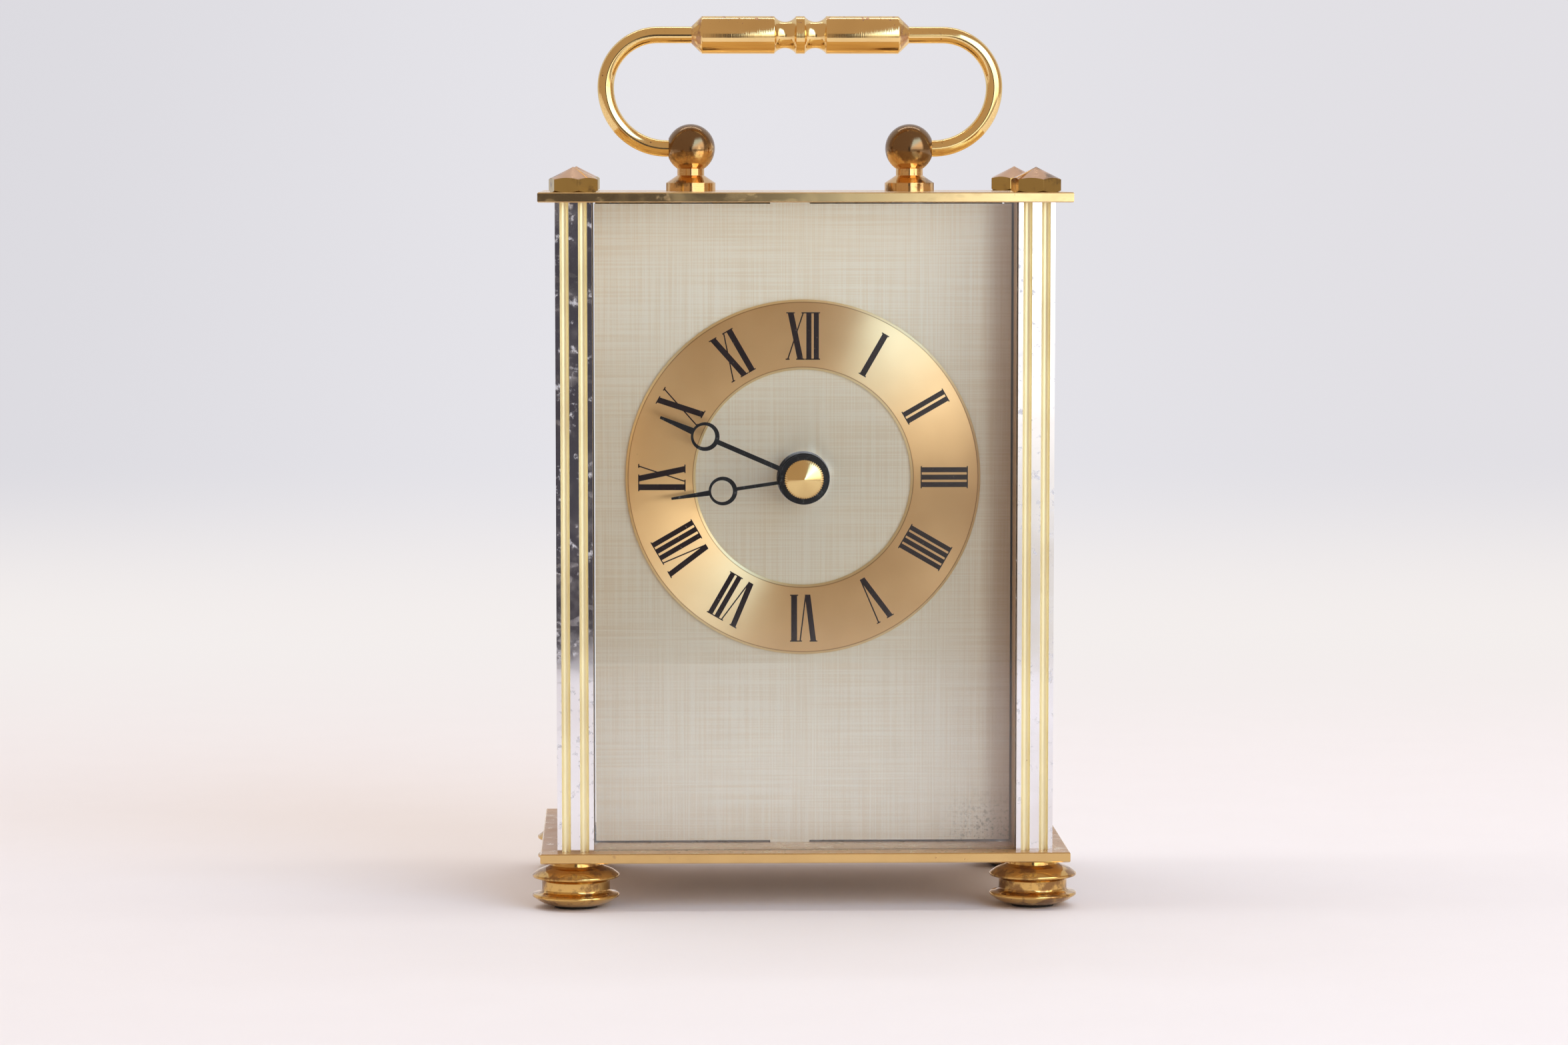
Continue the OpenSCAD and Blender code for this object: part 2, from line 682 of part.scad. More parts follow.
module handle_grip() {
  last = len(grip_side) - 1;
  color("gold") translate([0, 0, pivot_z + bail_rise]) difference() {
    rotate([0, 90, 0]) rotate_extrude() polygon(concat(
      [[0, -grip_l/2]],
      [for (i = [last:-1:1]) [grip_side[i][1], -grip_side[i][0]]],
      [for (i = [1:last]) [grip_side[i][1], grip_side[i][0]]],
      [[0, grip_l/2]]));
    for (s = [-1, 1]) translate([s*(grip_l/2 - grip_seat - thread_clear), 0, 0])
      rotate([0, s*90, 0]) cylinder(d = bail_d + 2*thread_clear, h = grip_seat + 1);
  }
}

// ---- dial and hands ----

module dial_plate() {
  w = 2*(inner_x - dial_gap);
  low = -dial_up + dial_gap;
  high = pillar_h - dial_up - dial_gap;
  tab = let_in - sheet_clear;
  color("wheat") behind(0, dial_t) difference() {
    union() {
      translate([-w/2, low]) square([w, high - low]);
      translate([tab_x - tab_w/2, -dial_up - tab]) square([tab_w, pillar_h + 2*tab]);
    }
    circle(d = tube_d + 2*sheet_clear);
  }
}

module chapter_ring() {
  color("gold") translate([0, dial_y, dial_z]) rotate([90, 0, 0]) rotate_extrude() polygon([
    [ring_ri, 0], [ring_ro, 0], [ring_ro, ring_t - ring_bevel], [ring_ro - ring_bevel, ring_t],
    [ring_ri + ring_bevel, ring_t], [ring_ri, ring_t - ring_bevel]]);
}

hour_pipe_d = tube_bore - 2*run_clear;
minute_d = 3.2;                                 // minute arbor inside the hour pipe
hour_pipe_bore = minute_d + 2*run_clear;
screw_d = 2.4;                                  // the arbor's end, which the hand nut fits
drive_seat_d = 2.2;                             // the arbor's tail, which the drive wheel slips on
collar_d = hour_pipe_d + 1.4;
collar_l = 1.4;

// Hand drawn pointing up: hub, arm, open ring and spear
module hand_outline(len, ring_at, hub_r, arm_w, spear_w, tip_w) {
  difference() {
    union() {
      circle(r = hub_r);
      translate([-arm_w/2, 0]) square([arm_w, ring_at - hand_hole_d/2]);
      translate([0, ring_at]) circle(d = hand_ring_d);
      polygon([[-spear_w/2, ring_at + hand_hole_d/2 + hand_hole_off + 0.1],
               [spear_w/2, ring_at + hand_hole_d/2 + hand_hole_off + 0.1],
               [tip_w/2, len], [-tip_w/2, len]]);
    }
    translate([0, ring_at + hand_hole_off]) circle(d = hand_hole_d);
  }
}

module hour_hand() {
  color("black") {
    behind(-hour_lift, hand_t) difference() {
      rotate(-hour_angle) hand_outline(hour_len, hour_ring_at, hour_hub_r, 0.53, 0.82, 0.35);
      circle(d = hour_pipe_d + 2*thread_clear);
    }
    bar_tube([0, 0], hand_t - hour_lift, hand_t - hour_lift + collar_l,
             collar_d, hour_pipe_d + 2*thread_clear);
  }
}

module minute_hand() {
  color("black") behind(-minute_lift, hand_t) difference() {
    rotate(-minute_angle)
      hand_outline(minute_len, minute_ring_at, minute_hub_r, 0.74, 1.04, 0.42);
    circle(d = screw_d + 2*thread_clear);
  }
}

nut_seat = 0.9;                                 // thread length in the hand nut

// Knurled rim with a cone on top
module hand_nut() {
  root = nut_d/2 - 0.15;
  cone_r = root - 0.1;
  color("gold") difference() {
    union() {
      behind(-minute_lift - nut_rim_h, nut_rim_h) polygon([
        for (i = [0:2*nut_knurls - 1]) at(i%2 == 0 ? nut_d/2 : root, 180*i/nut_knurls)]);
      translate([0, dial_y - minute_lift - nut_rim_h, dial_z]) rotate([90, 0, 0])
        cylinder(r1 = cone_r, r2 = 0.1, h = nut_cone_h);
    }
    bar([0, 0], -minute_lift - nut_seat - thread_clear, -minute_lift + sliver,
        screw_d + 2*thread_clear);
  }
}

// ---- movement case ----

boss_d = 4.4;                                   // screw bosses in the case's corners
step_d = 6.4;                                   // their steps, which carry the train plate
boss_in = 2.5;                                  // from the room's wall to a boss's centre
boss_spots = [[-room_half + boss_in, room_half - boss_in], [room_half - boss_in, room_half - boss_in],
              [-room_half + boss_in, room_low + boss_in]];
post_spot = [room_half - 1.8, room_low + 1.8];  // a plain post under the fourth corner
stud_d = 1.2;                                   // motion wheel's stud

module case_outline(inset) {
  square(case_w - 2*inset, center = true);
}

module movement_case() {
  color("dimgray") difference() {
    union() {
      behind(case_at, case_wall) case_outline(0);
      behind(room_at, case_back - room_at) difference() {
        case_outline(0);
        case_outline(case_wall);
      }
      behind(room_at, case_back - room_at) translate([-room_half, bay_top])
        square([2*room_half, case_wall]);
      for (p = boss_spots) {
        bar(p, room_at, plate_at, step_d);
        bar(p, room_at, cover_at, boss_d);
      }
      bar(post_spot, room_at, plate_at, 2.4);
      bar(motion_pos, room_at, plate_at - 0.2, stud_d);
      bar([0, 0], -tube_nut_t - 0.6, room_at, tube_d);
    }
    bar([0, 0], -tube_nut_t - 1, room_at + 1, tube_bore);
    for (p = boss_spots) bar(p, cover_at - screw_l - 0.5, cover_at + 1, screw_core + 2*thread_clear);
  }
}

// Cover plate over the gear room, inside the case's walls
module movement_cover() {
  color("dimgray") behind(cover_at, case_wall) difference() {
    translate([-room_half + sheet_clear, room_low + sheet_clear])
      square([2*room_half - 2*sheet_clear, room_half - room_low - 2*sheet_clear]);
    translate(set_pos) circle(d = set_shaft_d + 2*run_clear);
    for (p = boss_spots) translate(p) circle(d = screw_core + 0.4);
  }
}

module cover_screws() {
  color("silver") for (p = boss_spots) {
    bar(p, cover_at - screw_l, case_back + 0.2, screw_core);
    bar(p, case_back, case_back + screw_head_h, screw_head_d);
  }
}

module tube_nut() {
  color("silver") bar_tube([0, 0], -tube_nut_t, 0, tube_nut_d, tube_d + 2*thread_clear);
}

module rubber_washer() {
  color("black") bar_tube([0, 0], dial_t, case_at, washer_d, tube_d + 2*rod_clear);
}

// ---- motion work ----

module minute_arbor() {
  tail = drive_at + train_wheel_t;
  color("silver") difference() {
    union() {
      bar([0, 0], -minute_lift - nut_seat, plate_at, screw_d);
      bar([0, 0], hand_t - minute_lift, plate_at + bridge_t + 0.1, minute_d);
      bar([0, 0], plate_at, tail, drive_seat_d);
      behind(motion_at, motion_t) gear(minute_teeth, minute_mod, leaf_tooth, minute_turn);
    }
    bar([0, 0], seconds_front - 0.3, tail + 1, seconds_d + 2*run_clear);
  }
}

// Wheel whose pipe runs inside the case's tube and carries the hour hand
module hour_wheel() {
  color("gold") difference() {
    union() {
      behind(hour_at, motion_t) gear(hour_teeth, hour_mod, wheel_tooth, hour_turn);
      bar([0, 0], -hour_lift, hour_at + motion_t, hour_pipe_d);
    }
    bar([0, 0], -hour_lift - 1, hour_at + motion_t + 1, hour_pipe_bore);
  }
}

module motion_wheel() {
  color("ivory") difference() {
    union() {
      behind(motion_at, motion_t) translate(motion_pos)
        gear(motion_teeth, minute_mod, wheel_tooth, motion_turn);
      behind(hour_at, motion_at - hour_at + sliver) translate(motion_pos)
        gear(motion_pinion_teeth, hour_mod, leaf_tooth, motion_turn);
    }
    bar(motion_pos, hour_at - 1, motion_at + motion_t + 1, stud_d + 2*run_clear);
  }
}

set_shaft_d = 2;
set_gap = 0.3;                                  // between the knob and the cover

module setting_knob() {
  grips = 24;
  outer = set_knob_d/2;
  color("black") {
    bar(set_pos, room_at + 0.1, case_back + set_gap + sliver, set_shaft_d);
    behind(motion_at, motion_t) translate(set_pos)
      gear(minute_teeth, minute_mod, leaf_tooth, set_turn);
    behind(case_back + set_gap, set_knob_h) translate(set_pos) polygon([
      for (i = [0:2*grips - 1]) at(i%2 == 0 ? outer : outer - 0.4, 180*i/grips)]);
  }
}

// ---- going train ----

seconds_d = 1;
seconds_front = plate_at - 3;                   // the seconds arbor's end inside the minute arbor
pivot_in = 0.6;                                 // depth of the pivot holes
third_foot = plate_at + bridge_t - pivot_in;    // front ends of the other arbors
back_pivot = bridge_at + pivot_in;              // rear ends of all of them
bridge_post_d = 2.4;

// Distance from a wheel's axis to a bridge post that stands gap clear of its teeth
function post_from(n, m, gap) = (n/2 + wheel_tooth[0])*m + gap + bridge_post_d/2;

bridge_posts = [
  third_pos + at(post_from(wheel_teeth, third_mod, 3.9), -134),
  third_pos + at(post_from(wheel_teeth, third_mod, 0.8), 80),
  fifth_pos + at(post_from(wheel_teeth, train_mod, 1), 36),
  at(post_from(drive_teeth, train_mod, 1.1), -45)
];

module pivot_holes(posts) {
  for (p = posts) translate(p) circle(d = arbor_d + 2*run_clear);
}

module train_plate() {
  w = 2*room_half - 2*sheet_clear;
  color("ivory") difference() {
    union() {
      behind(plate_at, bridge_t) difference() {
        translate([-w/2, room_low + sheet_clear]) square([w, room_half - room_low - 2*sheet_clear]);
        circle(d = minute_d + 2*run_clear);
        translate(set_pos) circle(d = set_shaft_d + 2*run_clear);
        for (p = boss_spots) translate(p) circle(d = boss_d + 2*sheet_clear);
      }
      for (p = bridge_posts) bar(p, plate_at, bridge_at, bridge_post_d);
    }
    behind(third_foot, pivot_in + sliver) pivot_holes([third_pos, fifth_pos, rotor_pos]);
  }
}

module train_bridge() {
  edge = 1.6;
  color("ivory") difference() {
    behind(bridge_at, bridge_t) polygon([
      bridge_posts[0] + [-edge, -edge], bridge_posts[3] + [edge, -edge],
      rotor_pos + [4, -2], bridge_posts[2] + [1, 0],
      bridge_posts[2] + [0, edge], bridge_posts[1] + [-edge, edge], bridge_posts[0] + [-edge, 6]]);
    behind(bridge_at - sliver, pivot_in + sliver) {
      pivot_holes([third_pos, fifth_pos, rotor_pos]);
      circle(d = seconds_d + 2*run_clear);
    }
  }
}

// Wheel that slips on the minute arbor's tail when the hands are set
module drive_wheel() {
  color("gold") behind(drive_at, train_wheel_t) difference() {
    gear(drive_teeth, train_mod, wheel_tooth, drive_turn);
    circle(d = drive_seat_d + 2*run_clear);
  }
}

// Arbor with a wheel at one depth and a pinion at another
module wheel_and_pinion(pos, d_wheel, wheel, d_pinion, pinion, turn, dia, front) {
  bar(pos, front + run_clear, back_pivot - run_clear, dia);
  behind(d_wheel, train_wheel_t) translate(pos) gear(wheel[0], wheel[1], wheel_tooth, turn);
  behind(min(d_wheel, d_pinion), layer + train_wheel_t) translate(pos)
    gear(pinion[0], pinion[1], leaf_tooth, turn);
}

module third_wheel() {
  color("ivory") wheel_and_pinion(third_pos, third_at, [wheel_teeth, third_mod],
    drive_at, [leaf_teeth, train_mod], third_turn, arbor_d, third_foot);
}

module seconds_wheel() {
  color("ivory") wheel_and_pinion([0, 0], seconds_at, [wheel_teeth, train_mod],
    third_at, [leaf_teeth, third_mod], seconds_turn, seconds_d, seconds_front);
}

module fifth_wheel() {
  color("ivory") wheel_and_pinion(fifth_pos, fifth_at, [wheel_teeth, train_mod],
    seconds_at, [fifth_pinion_teeth, train_mod], fifth_turn, arbor_d, third_foot);
}

module rotor() {
  color("darkslategray") {
    bar(rotor_pos, third_foot + run_clear, back_pivot - run_clear, arbor_d);
    behind(fifth_at, magnet_at - fifth_at + sliver) translate(rotor_pos)
      gear(rotor_teeth, train_mod, leaf_tooth, rotor_turn);
    bar(rotor_pos, magnet_at, magnet_at + magnet_t, magnet_d);
  }
}

// ---- motor ----

limb_w = 5;                                     // width of the stator's limb round the rotor
stator_x0 = rotor_pos[0] - limb_w/2;
core_w = 2;
coil_x = room_half - 4.3;                       // the coil's core, the outer limb
limb = 2.6;                                     // height of the stator's cross pieces
stator_low = room_low + 0.8;
stator_high = 9;
core_slack = 0.05;

module stator() {
  color("slategray") behind(stator_at, stator_t) difference() {
    union() {
      translate([stator_x0, stator_low]) square([limb_w, stator_high - stator_low]);
      translate(rotor_pos) circle(r = magnet_d/2 + 1.8);
      translate([coil_x - core_w/2, stator_low]) square([core_w, stator_high - stator_low]);
      for (z = [stator_low, stator_high - limb]) translate([stator_x0, z])
        square([coil_x + core_w/2 - stator_x0, limb]);
    }
    translate(rotor_pos) circle(r = magnet_d/2 + 0.3);
  }
}

coil_low = stator_low + limb + 0.1;
coil_l = stator_high - limb - 0.1 - coil_low;
coil_y = dial_y + stator_at + stator_t/2;
flange_d = 6.6;
spool_d = 3.4;
spool_flange = 0.6;

module coil_bobbin() {
  color("ivory") translate([coil_x, coil_y, dial_z + coil_low]) difference() {
    union() {
      cylinder(d = spool_d, h = coil_l);
      cylinder(d = flange_d, h = spool_flange);
      translate([0, 0, coil_l - spool_flange]) cylinder(d = flange_d, h = spool_flange);
    }
    translate([0, 0, coil_l/2])
      cube([core_w + 2*core_slack, stator_t + 2*core_slack, coil_l + 1], center = true);
  }
}

module coil_winding() {
  color("orangered") translate([coil_x, coil_y, dial_z + coil_low + spool_flange])
    difference() {
      cylinder(d = flange_d - 0.8, h = coil_l - 2*spool_flange);
      translate([0, 0, -sliver])
        cylinder(d = spool_d + 2*thread_clear, h = coil_l - 2*spool_flange + 2*sliver);
    }
}

board_at = plate_at + bridge_t;
board_size = [13, 8.6];
board_t = 1;
board_gap = 0.2;                                // between the board and a screw boss
board_pos = [-room_half + boss_in + boss_d/2 + board_gap + board_size[0]/2,
             room_half - 1.3 - board_size[1]/2];
crystal_d = 2;

module circuit_board() {
  color("darkgreen") {
    behind(board_at, board_t) translate(board_pos) square(board_size, center = true);
    bar(board_pos + [2.5, 1], board_at + board_t - sliver, board_at + board_t + 0.9, 4.6);
  }
}

module quartz_crystal() {
  color("silver") translate([board_pos[0] - 3, dial_y + board_at + board_t + crystal_d/2,
                             dial_z + board_pos[1] - 3]) cylinder(d = crystal_d, h = 6);
}

// ---- battery ----

cell_y = dial_y + room_at + cell_clear + cell_d/2;
cell_x0 = -(cell_l + nub_l)/2;

module battery() {
  color("darkred") translate([cell_x0, cell_y, dial_z + cell_z]) rotate([0, 90, 0]) {
    cylinder(d = cell_d, h = cell_l);
    translate([0, 0, cell_l - sliver]) cylinder(d = nub_d, h = nub_l + sliver);
  }
}

contact_size = 9;

// Spring plate at each end of the bay, dimpled to touch the battery
module battery_contacts() {
  color("silver") for (s = [-1, 1]) {
    reach_in = room_half - contact_t - (cell_l + nub_l)/2 - 0.1;
    translate([s*(room_half - contact_t/2), cell_y, dial_z + cell_z])
      cube([contact_t, contact_size, contact_size], center = true);
    translate([s*(room_half - contact_t), cell_y, dial_z + cell_z]) rotate([0, -s*90, 0])
      cylinder(r1 = 2, r2 = 1, h = reach_in);
  }
}

// ---- which piece to show ----

base_plate();
top_plate();
pillar(-1, -1);  // pillar_front_left
pillar(1, -1);  // pillar_front_right
pillar(-1, 1);  // pillar_rear_left
pillar(1, 1);  // pillar_rear_right
tie_rods();
finial(-1, -1);  // finial_front_left
finial(1, -1);  // finial_front_right
finial(-1, 1);  // finial_rear_left
finial(1, 1);  // finial_rear_right
foot(-1, -1);  // foot_front_left
foot(1, -1);  // foot_front_right
foot(-1, 1);  // foot_rear_left
foot(1, 1);  // foot_rear_right
foot_pads();
front_glass();
side_panel(-1);  // side_panel_left
side_panel(1);  // side_panel_right
rear_door();
door_knob();
door_pins();
door_pegs();
handle_post(-1);  // handle_post_left
handle_post(1);  // handle_post_right
post_nuts();
bail_rod(-1);  // bail_rod_left
bail_rod(1);  // bail_rod_right
handle_grip();
dial_plate();
chapter_ring();
hour_hand();
minute_hand();
hand_nut();
movement_case();
movement_cover();
cover_screws();
tube_nut();
rubber_washer();
minute_arbor();
hour_wheel();
motion_wheel();
setting_knob();
train_plate();
train_bridge();
drive_wheel();
third_wheel();
seconds_wheel();
fifth_wheel();
rotor();
stator();
coil_bobbin();
coil_winding();
circuit_board();
quartz_crystal();
battery();
battery_contacts();
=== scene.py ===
import math
from itertools import groupby

import bpy
import numpy as np
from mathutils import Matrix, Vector


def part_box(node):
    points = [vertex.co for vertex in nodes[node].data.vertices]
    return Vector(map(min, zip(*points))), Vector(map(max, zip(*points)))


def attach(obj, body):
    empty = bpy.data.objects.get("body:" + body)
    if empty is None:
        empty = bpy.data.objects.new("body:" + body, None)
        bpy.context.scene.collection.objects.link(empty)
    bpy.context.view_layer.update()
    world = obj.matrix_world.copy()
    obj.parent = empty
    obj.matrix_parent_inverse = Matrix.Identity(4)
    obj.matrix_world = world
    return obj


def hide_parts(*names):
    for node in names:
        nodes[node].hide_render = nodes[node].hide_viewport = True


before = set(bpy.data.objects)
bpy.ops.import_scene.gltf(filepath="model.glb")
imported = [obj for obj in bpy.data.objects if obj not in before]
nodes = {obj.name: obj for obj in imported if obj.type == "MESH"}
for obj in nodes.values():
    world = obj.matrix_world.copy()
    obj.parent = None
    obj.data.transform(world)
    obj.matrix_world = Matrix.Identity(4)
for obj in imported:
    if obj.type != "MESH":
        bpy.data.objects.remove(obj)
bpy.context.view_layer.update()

# ---- Base plate and top plate ----
# Two bevelled brass sheets, lacquered once and now stained in orange-brown patches where
# the lacquer has gone. Rods in the pillars pull them together.
MM = 0.001


def fill(tree, node, inputs):
    """Gives a node's inputs their values, or links them where the value is an output."""
    for key, value in inputs.items():
        if isinstance(value, bpy.types.NodeSocket):
            tree.links.new(value, node.inputs[key])
        else:
            node.inputs[key].default_value = value


def add(tree, kind, inputs=None, **settings):
    """Adds a shader node, makes its settings, then fills its inputs."""
    made = tree.nodes.new("ShaderNode" + kind)
    for key, value in settings.items():
        setattr(made, key, value)
    fill(tree, made, inputs or {})
    return made


def maths(tree, operation, a, b=0.0):
    """One operation on a and b, such as a plus b. Some use a alone."""
    return add(tree, "Math", {0: a, 1: b}, operation=operation).outputs[0]


def rise(tree, value, low, high):
    """A smooth step: 0 at low, 1 at high, and three times the square less twice the cube of the
    share of the way between them. With low above high it falls."""
    return add(tree, "MapRange", {0: value, 1: low, 2: high},
               interpolation_type="SMOOTHSTEP").outputs[0]


def between(tree, share, a, b):
    """A number that goes from a to b with share: a plus share times the way to b."""
    return add(tree, "Mix", {0: share, 2: a, 3: b}).outputs[0]


def tint(tree, share, a, b, kind="MIX"):
    """A colour that goes with share from a to b, or from a to a times b if kind is MULTIPLY."""
    return add(tree, "Mix", {0: share, 6: a, 7: b}, data_type="RGBA", blend_type=kind).outputs[2]


def spot(tree):
    """The place of a point on the object, in metres."""
    return add(tree, "TexCoord").outputs["Object"]


def xyz(tree):
    """The place of a point on the object as three numbers, in metres."""
    return add(tree, "SeparateXYZ", {0: spot(tree)}).outputs


def upward(tree):
    """How far the surface faces up: 1 on top, 0 on a wall and -1 underneath."""
    return add(tree, "SeparateXYZ", {0: add(tree, "NewGeometry").outputs["Normal"]}).outputs["Z"]


def noise(tree, place, scale, detail, rough=0.5):
    """Cloudy noise about 0.5, with scale cells for each unit of place. Each of its detail finer
    layers is rough times as strong as the one before."""
    return add(tree, "TexNoise", {"Vector": place, "Scale": scale, "Detail": detail,
                                  "Roughness": rough}).outputs[0]


def start_group(name, given, made):
    """Starts a node group: given names its inputs and their first values, made its outputs."""
    tree = bpy.data.node_groups.new(name, "ShaderNodeTree")
    for key, value in given.items():
        kind = {4: "Color", 3: "Vector"}[len(value)] if isinstance(value, tuple) else "Float"
        socket = tree.interface.new_socket(key, in_out="INPUT", socket_type="NodeSocket" + kind)
        socket.default_value = value
    for key, kind in made.items():
        tree.interface.new_socket(key, in_out="OUTPUT", socket_type="NodeSocket" + kind)
    return tree, tree.nodes.new("NodeGroupInput").outputs, tree.nodes.new("NodeGroupOutput").inputs


# Patina: clouds of stain about Patch mm across, small dark specks, and a cleaner metal along
# rubbed edges, where a rounded normal turns away from the flat one.
patina, given, made = start_group(
    "patina",
    {"Metal": (0.8, 0.6, 0.3, 1.0), "Stain": (0.2, 0.1, 0.05, 1.0), "Amount": 0.3, "Patch": 3.0,
     "Specks": 0.2, "Worn": 0.0},
    {"Color": "Color", "Mask": "Float"})
place = spot(patina)
clouds = noise(patina, place, maths(patina, "DIVIDE", 1000.0, given["Patch"]), 5.0, 0.6)
least = maths(patina, "SUBTRACT", 0.78, maths(patina, "MULTIPLY", given["Amount"], 0.58))
patches = rise(patina, clouds, least, maths(patina, "ADD", least, 0.16))
pits = noise(patina, place, 1500.0, 2.0)
few = maths(patina, "SUBTRACT", 0.80, maths(patina, "MULTIPLY", given["Specks"], 0.22))
specks = rise(patina, pits, few, maths(patina, "ADD", few, 0.04))
soft = add(patina, "Bevel", {"Radius": 0.35 * MM}, samples=4).outputs[0]
sharp = add(patina, "NewGeometry").outputs["Normal"]
turn_off = add(patina, "VectorMath", {0: soft, 1: sharp}, operation="DOT_PRODUCT").outputs["Value"]
rubbed = maths(patina, "MULTIPLY", given["Worn"],
               rise(patina, maths(patina, "SUBTRACT", 1.0, turn_off), 0.01, 0.12))
stained = maths(patina, "MAXIMUM", maths(patina, "MULTIPLY", patches, 0.85), specks)
stained = maths(patina, "MULTIPLY", stained, maths(patina, "SUBTRACT", 1.0, rubbed))
broad = rise(patina, noise(patina, place, 90.0, 2.0), 0.3, 0.7)
toned = tint(patina, 0.35, given["Metal"],
             tint(patina, broad, (0.72, 0.66, 0.6, 1), (1, 1, 1, 1)), "MULTIPLY")
patina.links.new(tint(patina, stained, toned, given["Stain"]), made["Color"])
patina.links.new(stained, made["Mask"])

# Scuffs: long hairlines and finger smears that change only the gloss.
scuffs, given, made = start_group("scuffs", {"Amount": 0.5}, {"Value": "Float"})
place = spot(scuffs)
smears = rise(scuffs, noise(scuffs, place, 220.0, 3.0), 0.45, 0.7)
along = add(scuffs, "Mapping", {"Vector": place, "Rotation": (0.4, 0.9, 0.3),
                                "Scale": (300.0, 5200.0, 700.0)}).outputs[0]
hairlines = rise(scuffs, noise(scuffs, along, 1.0, 1.0), 0.62, 0.68)
both = maths(scuffs, "ADD", smears, maths(scuffs, "MULTIPLY", hairlines, 0.7))
scuffs.links.new(maths(scuffs, "MULTIPLY", both, given["Amount"]), made["Value"])

# Grain: stretched noise, with as many cells a metre along each axis as Cells says.
grain, given, made = start_group("grain", {"Cells": (1000.0, 1000.0, 1000.0)}, {"Height": "Float"})
place = add(grain, "VectorMath", {0: spot(grain), 1: given["Cells"]}, operation="MULTIPLY").outputs[0]
grain.links.new(noise(grain, place, 1.0, 3.0), made["Height"])


def new_material(name):
    """A material, and its tree with a Principled shader in it."""
    material = bpy.data.materials.new(name)
    material.use_nodes = True
    return material, material.node_tree


def lay_finish(tree, inputs):
    """Fills inputs of the material's Principled shader."""
    fill(tree, tree.nodes["Principled BSDF"], inputs)


def emboss(tree, height, depth):
    """Shades the surface as if its highest parts stood depth mm above its lowest."""
    lay_finish(tree, {"Normal": add(tree, "Bump", {"Distance": depth * MM, "Height": height}).outputs[0]})


def scuffed_up(tree, rough, amount):
    """A roughness: rough, plus scuffs times amount."""
    return maths(tree, "ADD", rough, add(tree, "Group", {"Amount": amount}, node_tree=scuffs).outputs[0])


def metal(name, clean, stain, amount=0.2, patch=3.0, specks=0.2, worn=0.0, gloss=(0.15, 0.4),
          scuffed=0.1, dull=0.45, pattern=None, depth=0.0):
    """A metal that is stained in places. gloss holds the roughness of clean and of stained metal,
    dull says how far stain hides the metal, and pattern, a function of the tree, gives the height
    of its tool marks in depth mm."""
    material, tree = new_material(name)
    aged = add(tree, "Group", {"Metal": (*clean, 1.0), "Stain": (*stain, 1.0), "Amount": amount,
                               "Patch": patch, "Specks": specks, "Worn": worn}, node_tree=patina)
    mask = aged.outputs["Mask"]
    lay_finish(tree, {"Base Color": aged.outputs["Color"],
                      "Metallic": between(tree, mask, 1.0, 1.0 - dull),
                      "Roughness": scuffed_up(tree, between(tree, mask, *gloss), scuffed)})
    if pattern:
        emboss(tree, pattern(tree), depth)
    return material


def patina_of(material):
    """A metal's tree, and the patina in it."""
    tree = material.node_tree
    return tree, next(n for n in tree.nodes if n.type == "GROUP" and n.node_tree == patina)


def drawn(*cells):
    """A pattern of grain with cells a metre along X, Y and Z."""
    return lambda tree: add(tree, "Group", {"Cells": cells}, node_tree=grain).outputs[0]


def dress(material, *names):
    """Puts a material on CAD nodes."""
    for name in names:
        nodes[name].data.materials[0] = material


edge_stain, under_stain = 0.24, 0.1
for plate, clean, lying_stain in (("base_plate", (0.74, 0.505, 0.215), 0.8),
                                  ("top_plate", (0.86, 0.63, 0.30), 0.55)):
    material = metal(plate + "_brass", clean, (0.50, 0.27, 0.11), patch=2.2, specks=0.3, worn=0.5,
                     gloss=(0.12, 0.34), scuffed=0.07, pattern=drawn(200, 900, 2500), depth=0.002)
    tree, aged = patina_of(material)
    facing = upward(tree)
    lying, under = rise(tree, facing, 0.6, 0.95), rise(tree, facing, -0.6, -0.95)
    stain = between(tree, under, between(tree, lying, edge_stain, lying_stain), under_stain)
    fill(tree, aged, {"Amount": stain})
    dulled = maths(tree, "MAXIMUM", maths(tree, "MULTIPLY", lying, 0.6),
                   maths(tree, "MULTIPLY", under, 0.85))
    shine = maths(tree, "MULTIPLY", between(tree, aged.outputs["Mask"], 1.0, 0.6),
                  maths(tree, "SUBTRACT", 1.0, dulled))
    lay_finish(tree, {"Base Color": tint(tree, under, aged.outputs["Color"], (0.92, 0.76, 0.58, 1)),
                      "Metallic": shine})
    dress(material, plate)

# ---- Feet ----
# Four feet turned from brass bar, each with two sharp rims round a waist. A rod screws into
# the top of each, and a dark pad is let into its underside.
scene = bpy.context.scene


def arc(middle, radius, first, last, steps=12):
    """Points on an arc: middle plus radius times the cosine and the sine of each angle from
    first to last, in degrees."""
    angle = np.radians(np.linspace(first, last, steps + 1))
    return np.array(middle) + radius * np.stack([np.cos(angle), np.sin(angle)], -1)


def soften(profile, radius):
    """Rounds a profile's corners: each corner becomes a short curve of three points, which
    starts and ends radius from it, or less where the sides are short."""
    p = np.vstack(profile).astype(float)
    ends = []
    for side in (p[:-2] - p[1:-1], p[2:] - p[1:-1]):
        size = np.linalg.norm(side, axis=1, keepdims=True)
        ends.append(p[1:-1] + side / size * np.minimum(radius, 0.4 * size))
    middle = (ends[0] + ends[1] + 2 * p[1:-1]) / 4
    return np.vstack([p[:1], np.stack([ends[0], middle, ends[1]], 1).reshape(-1, 2), p[-1:]])


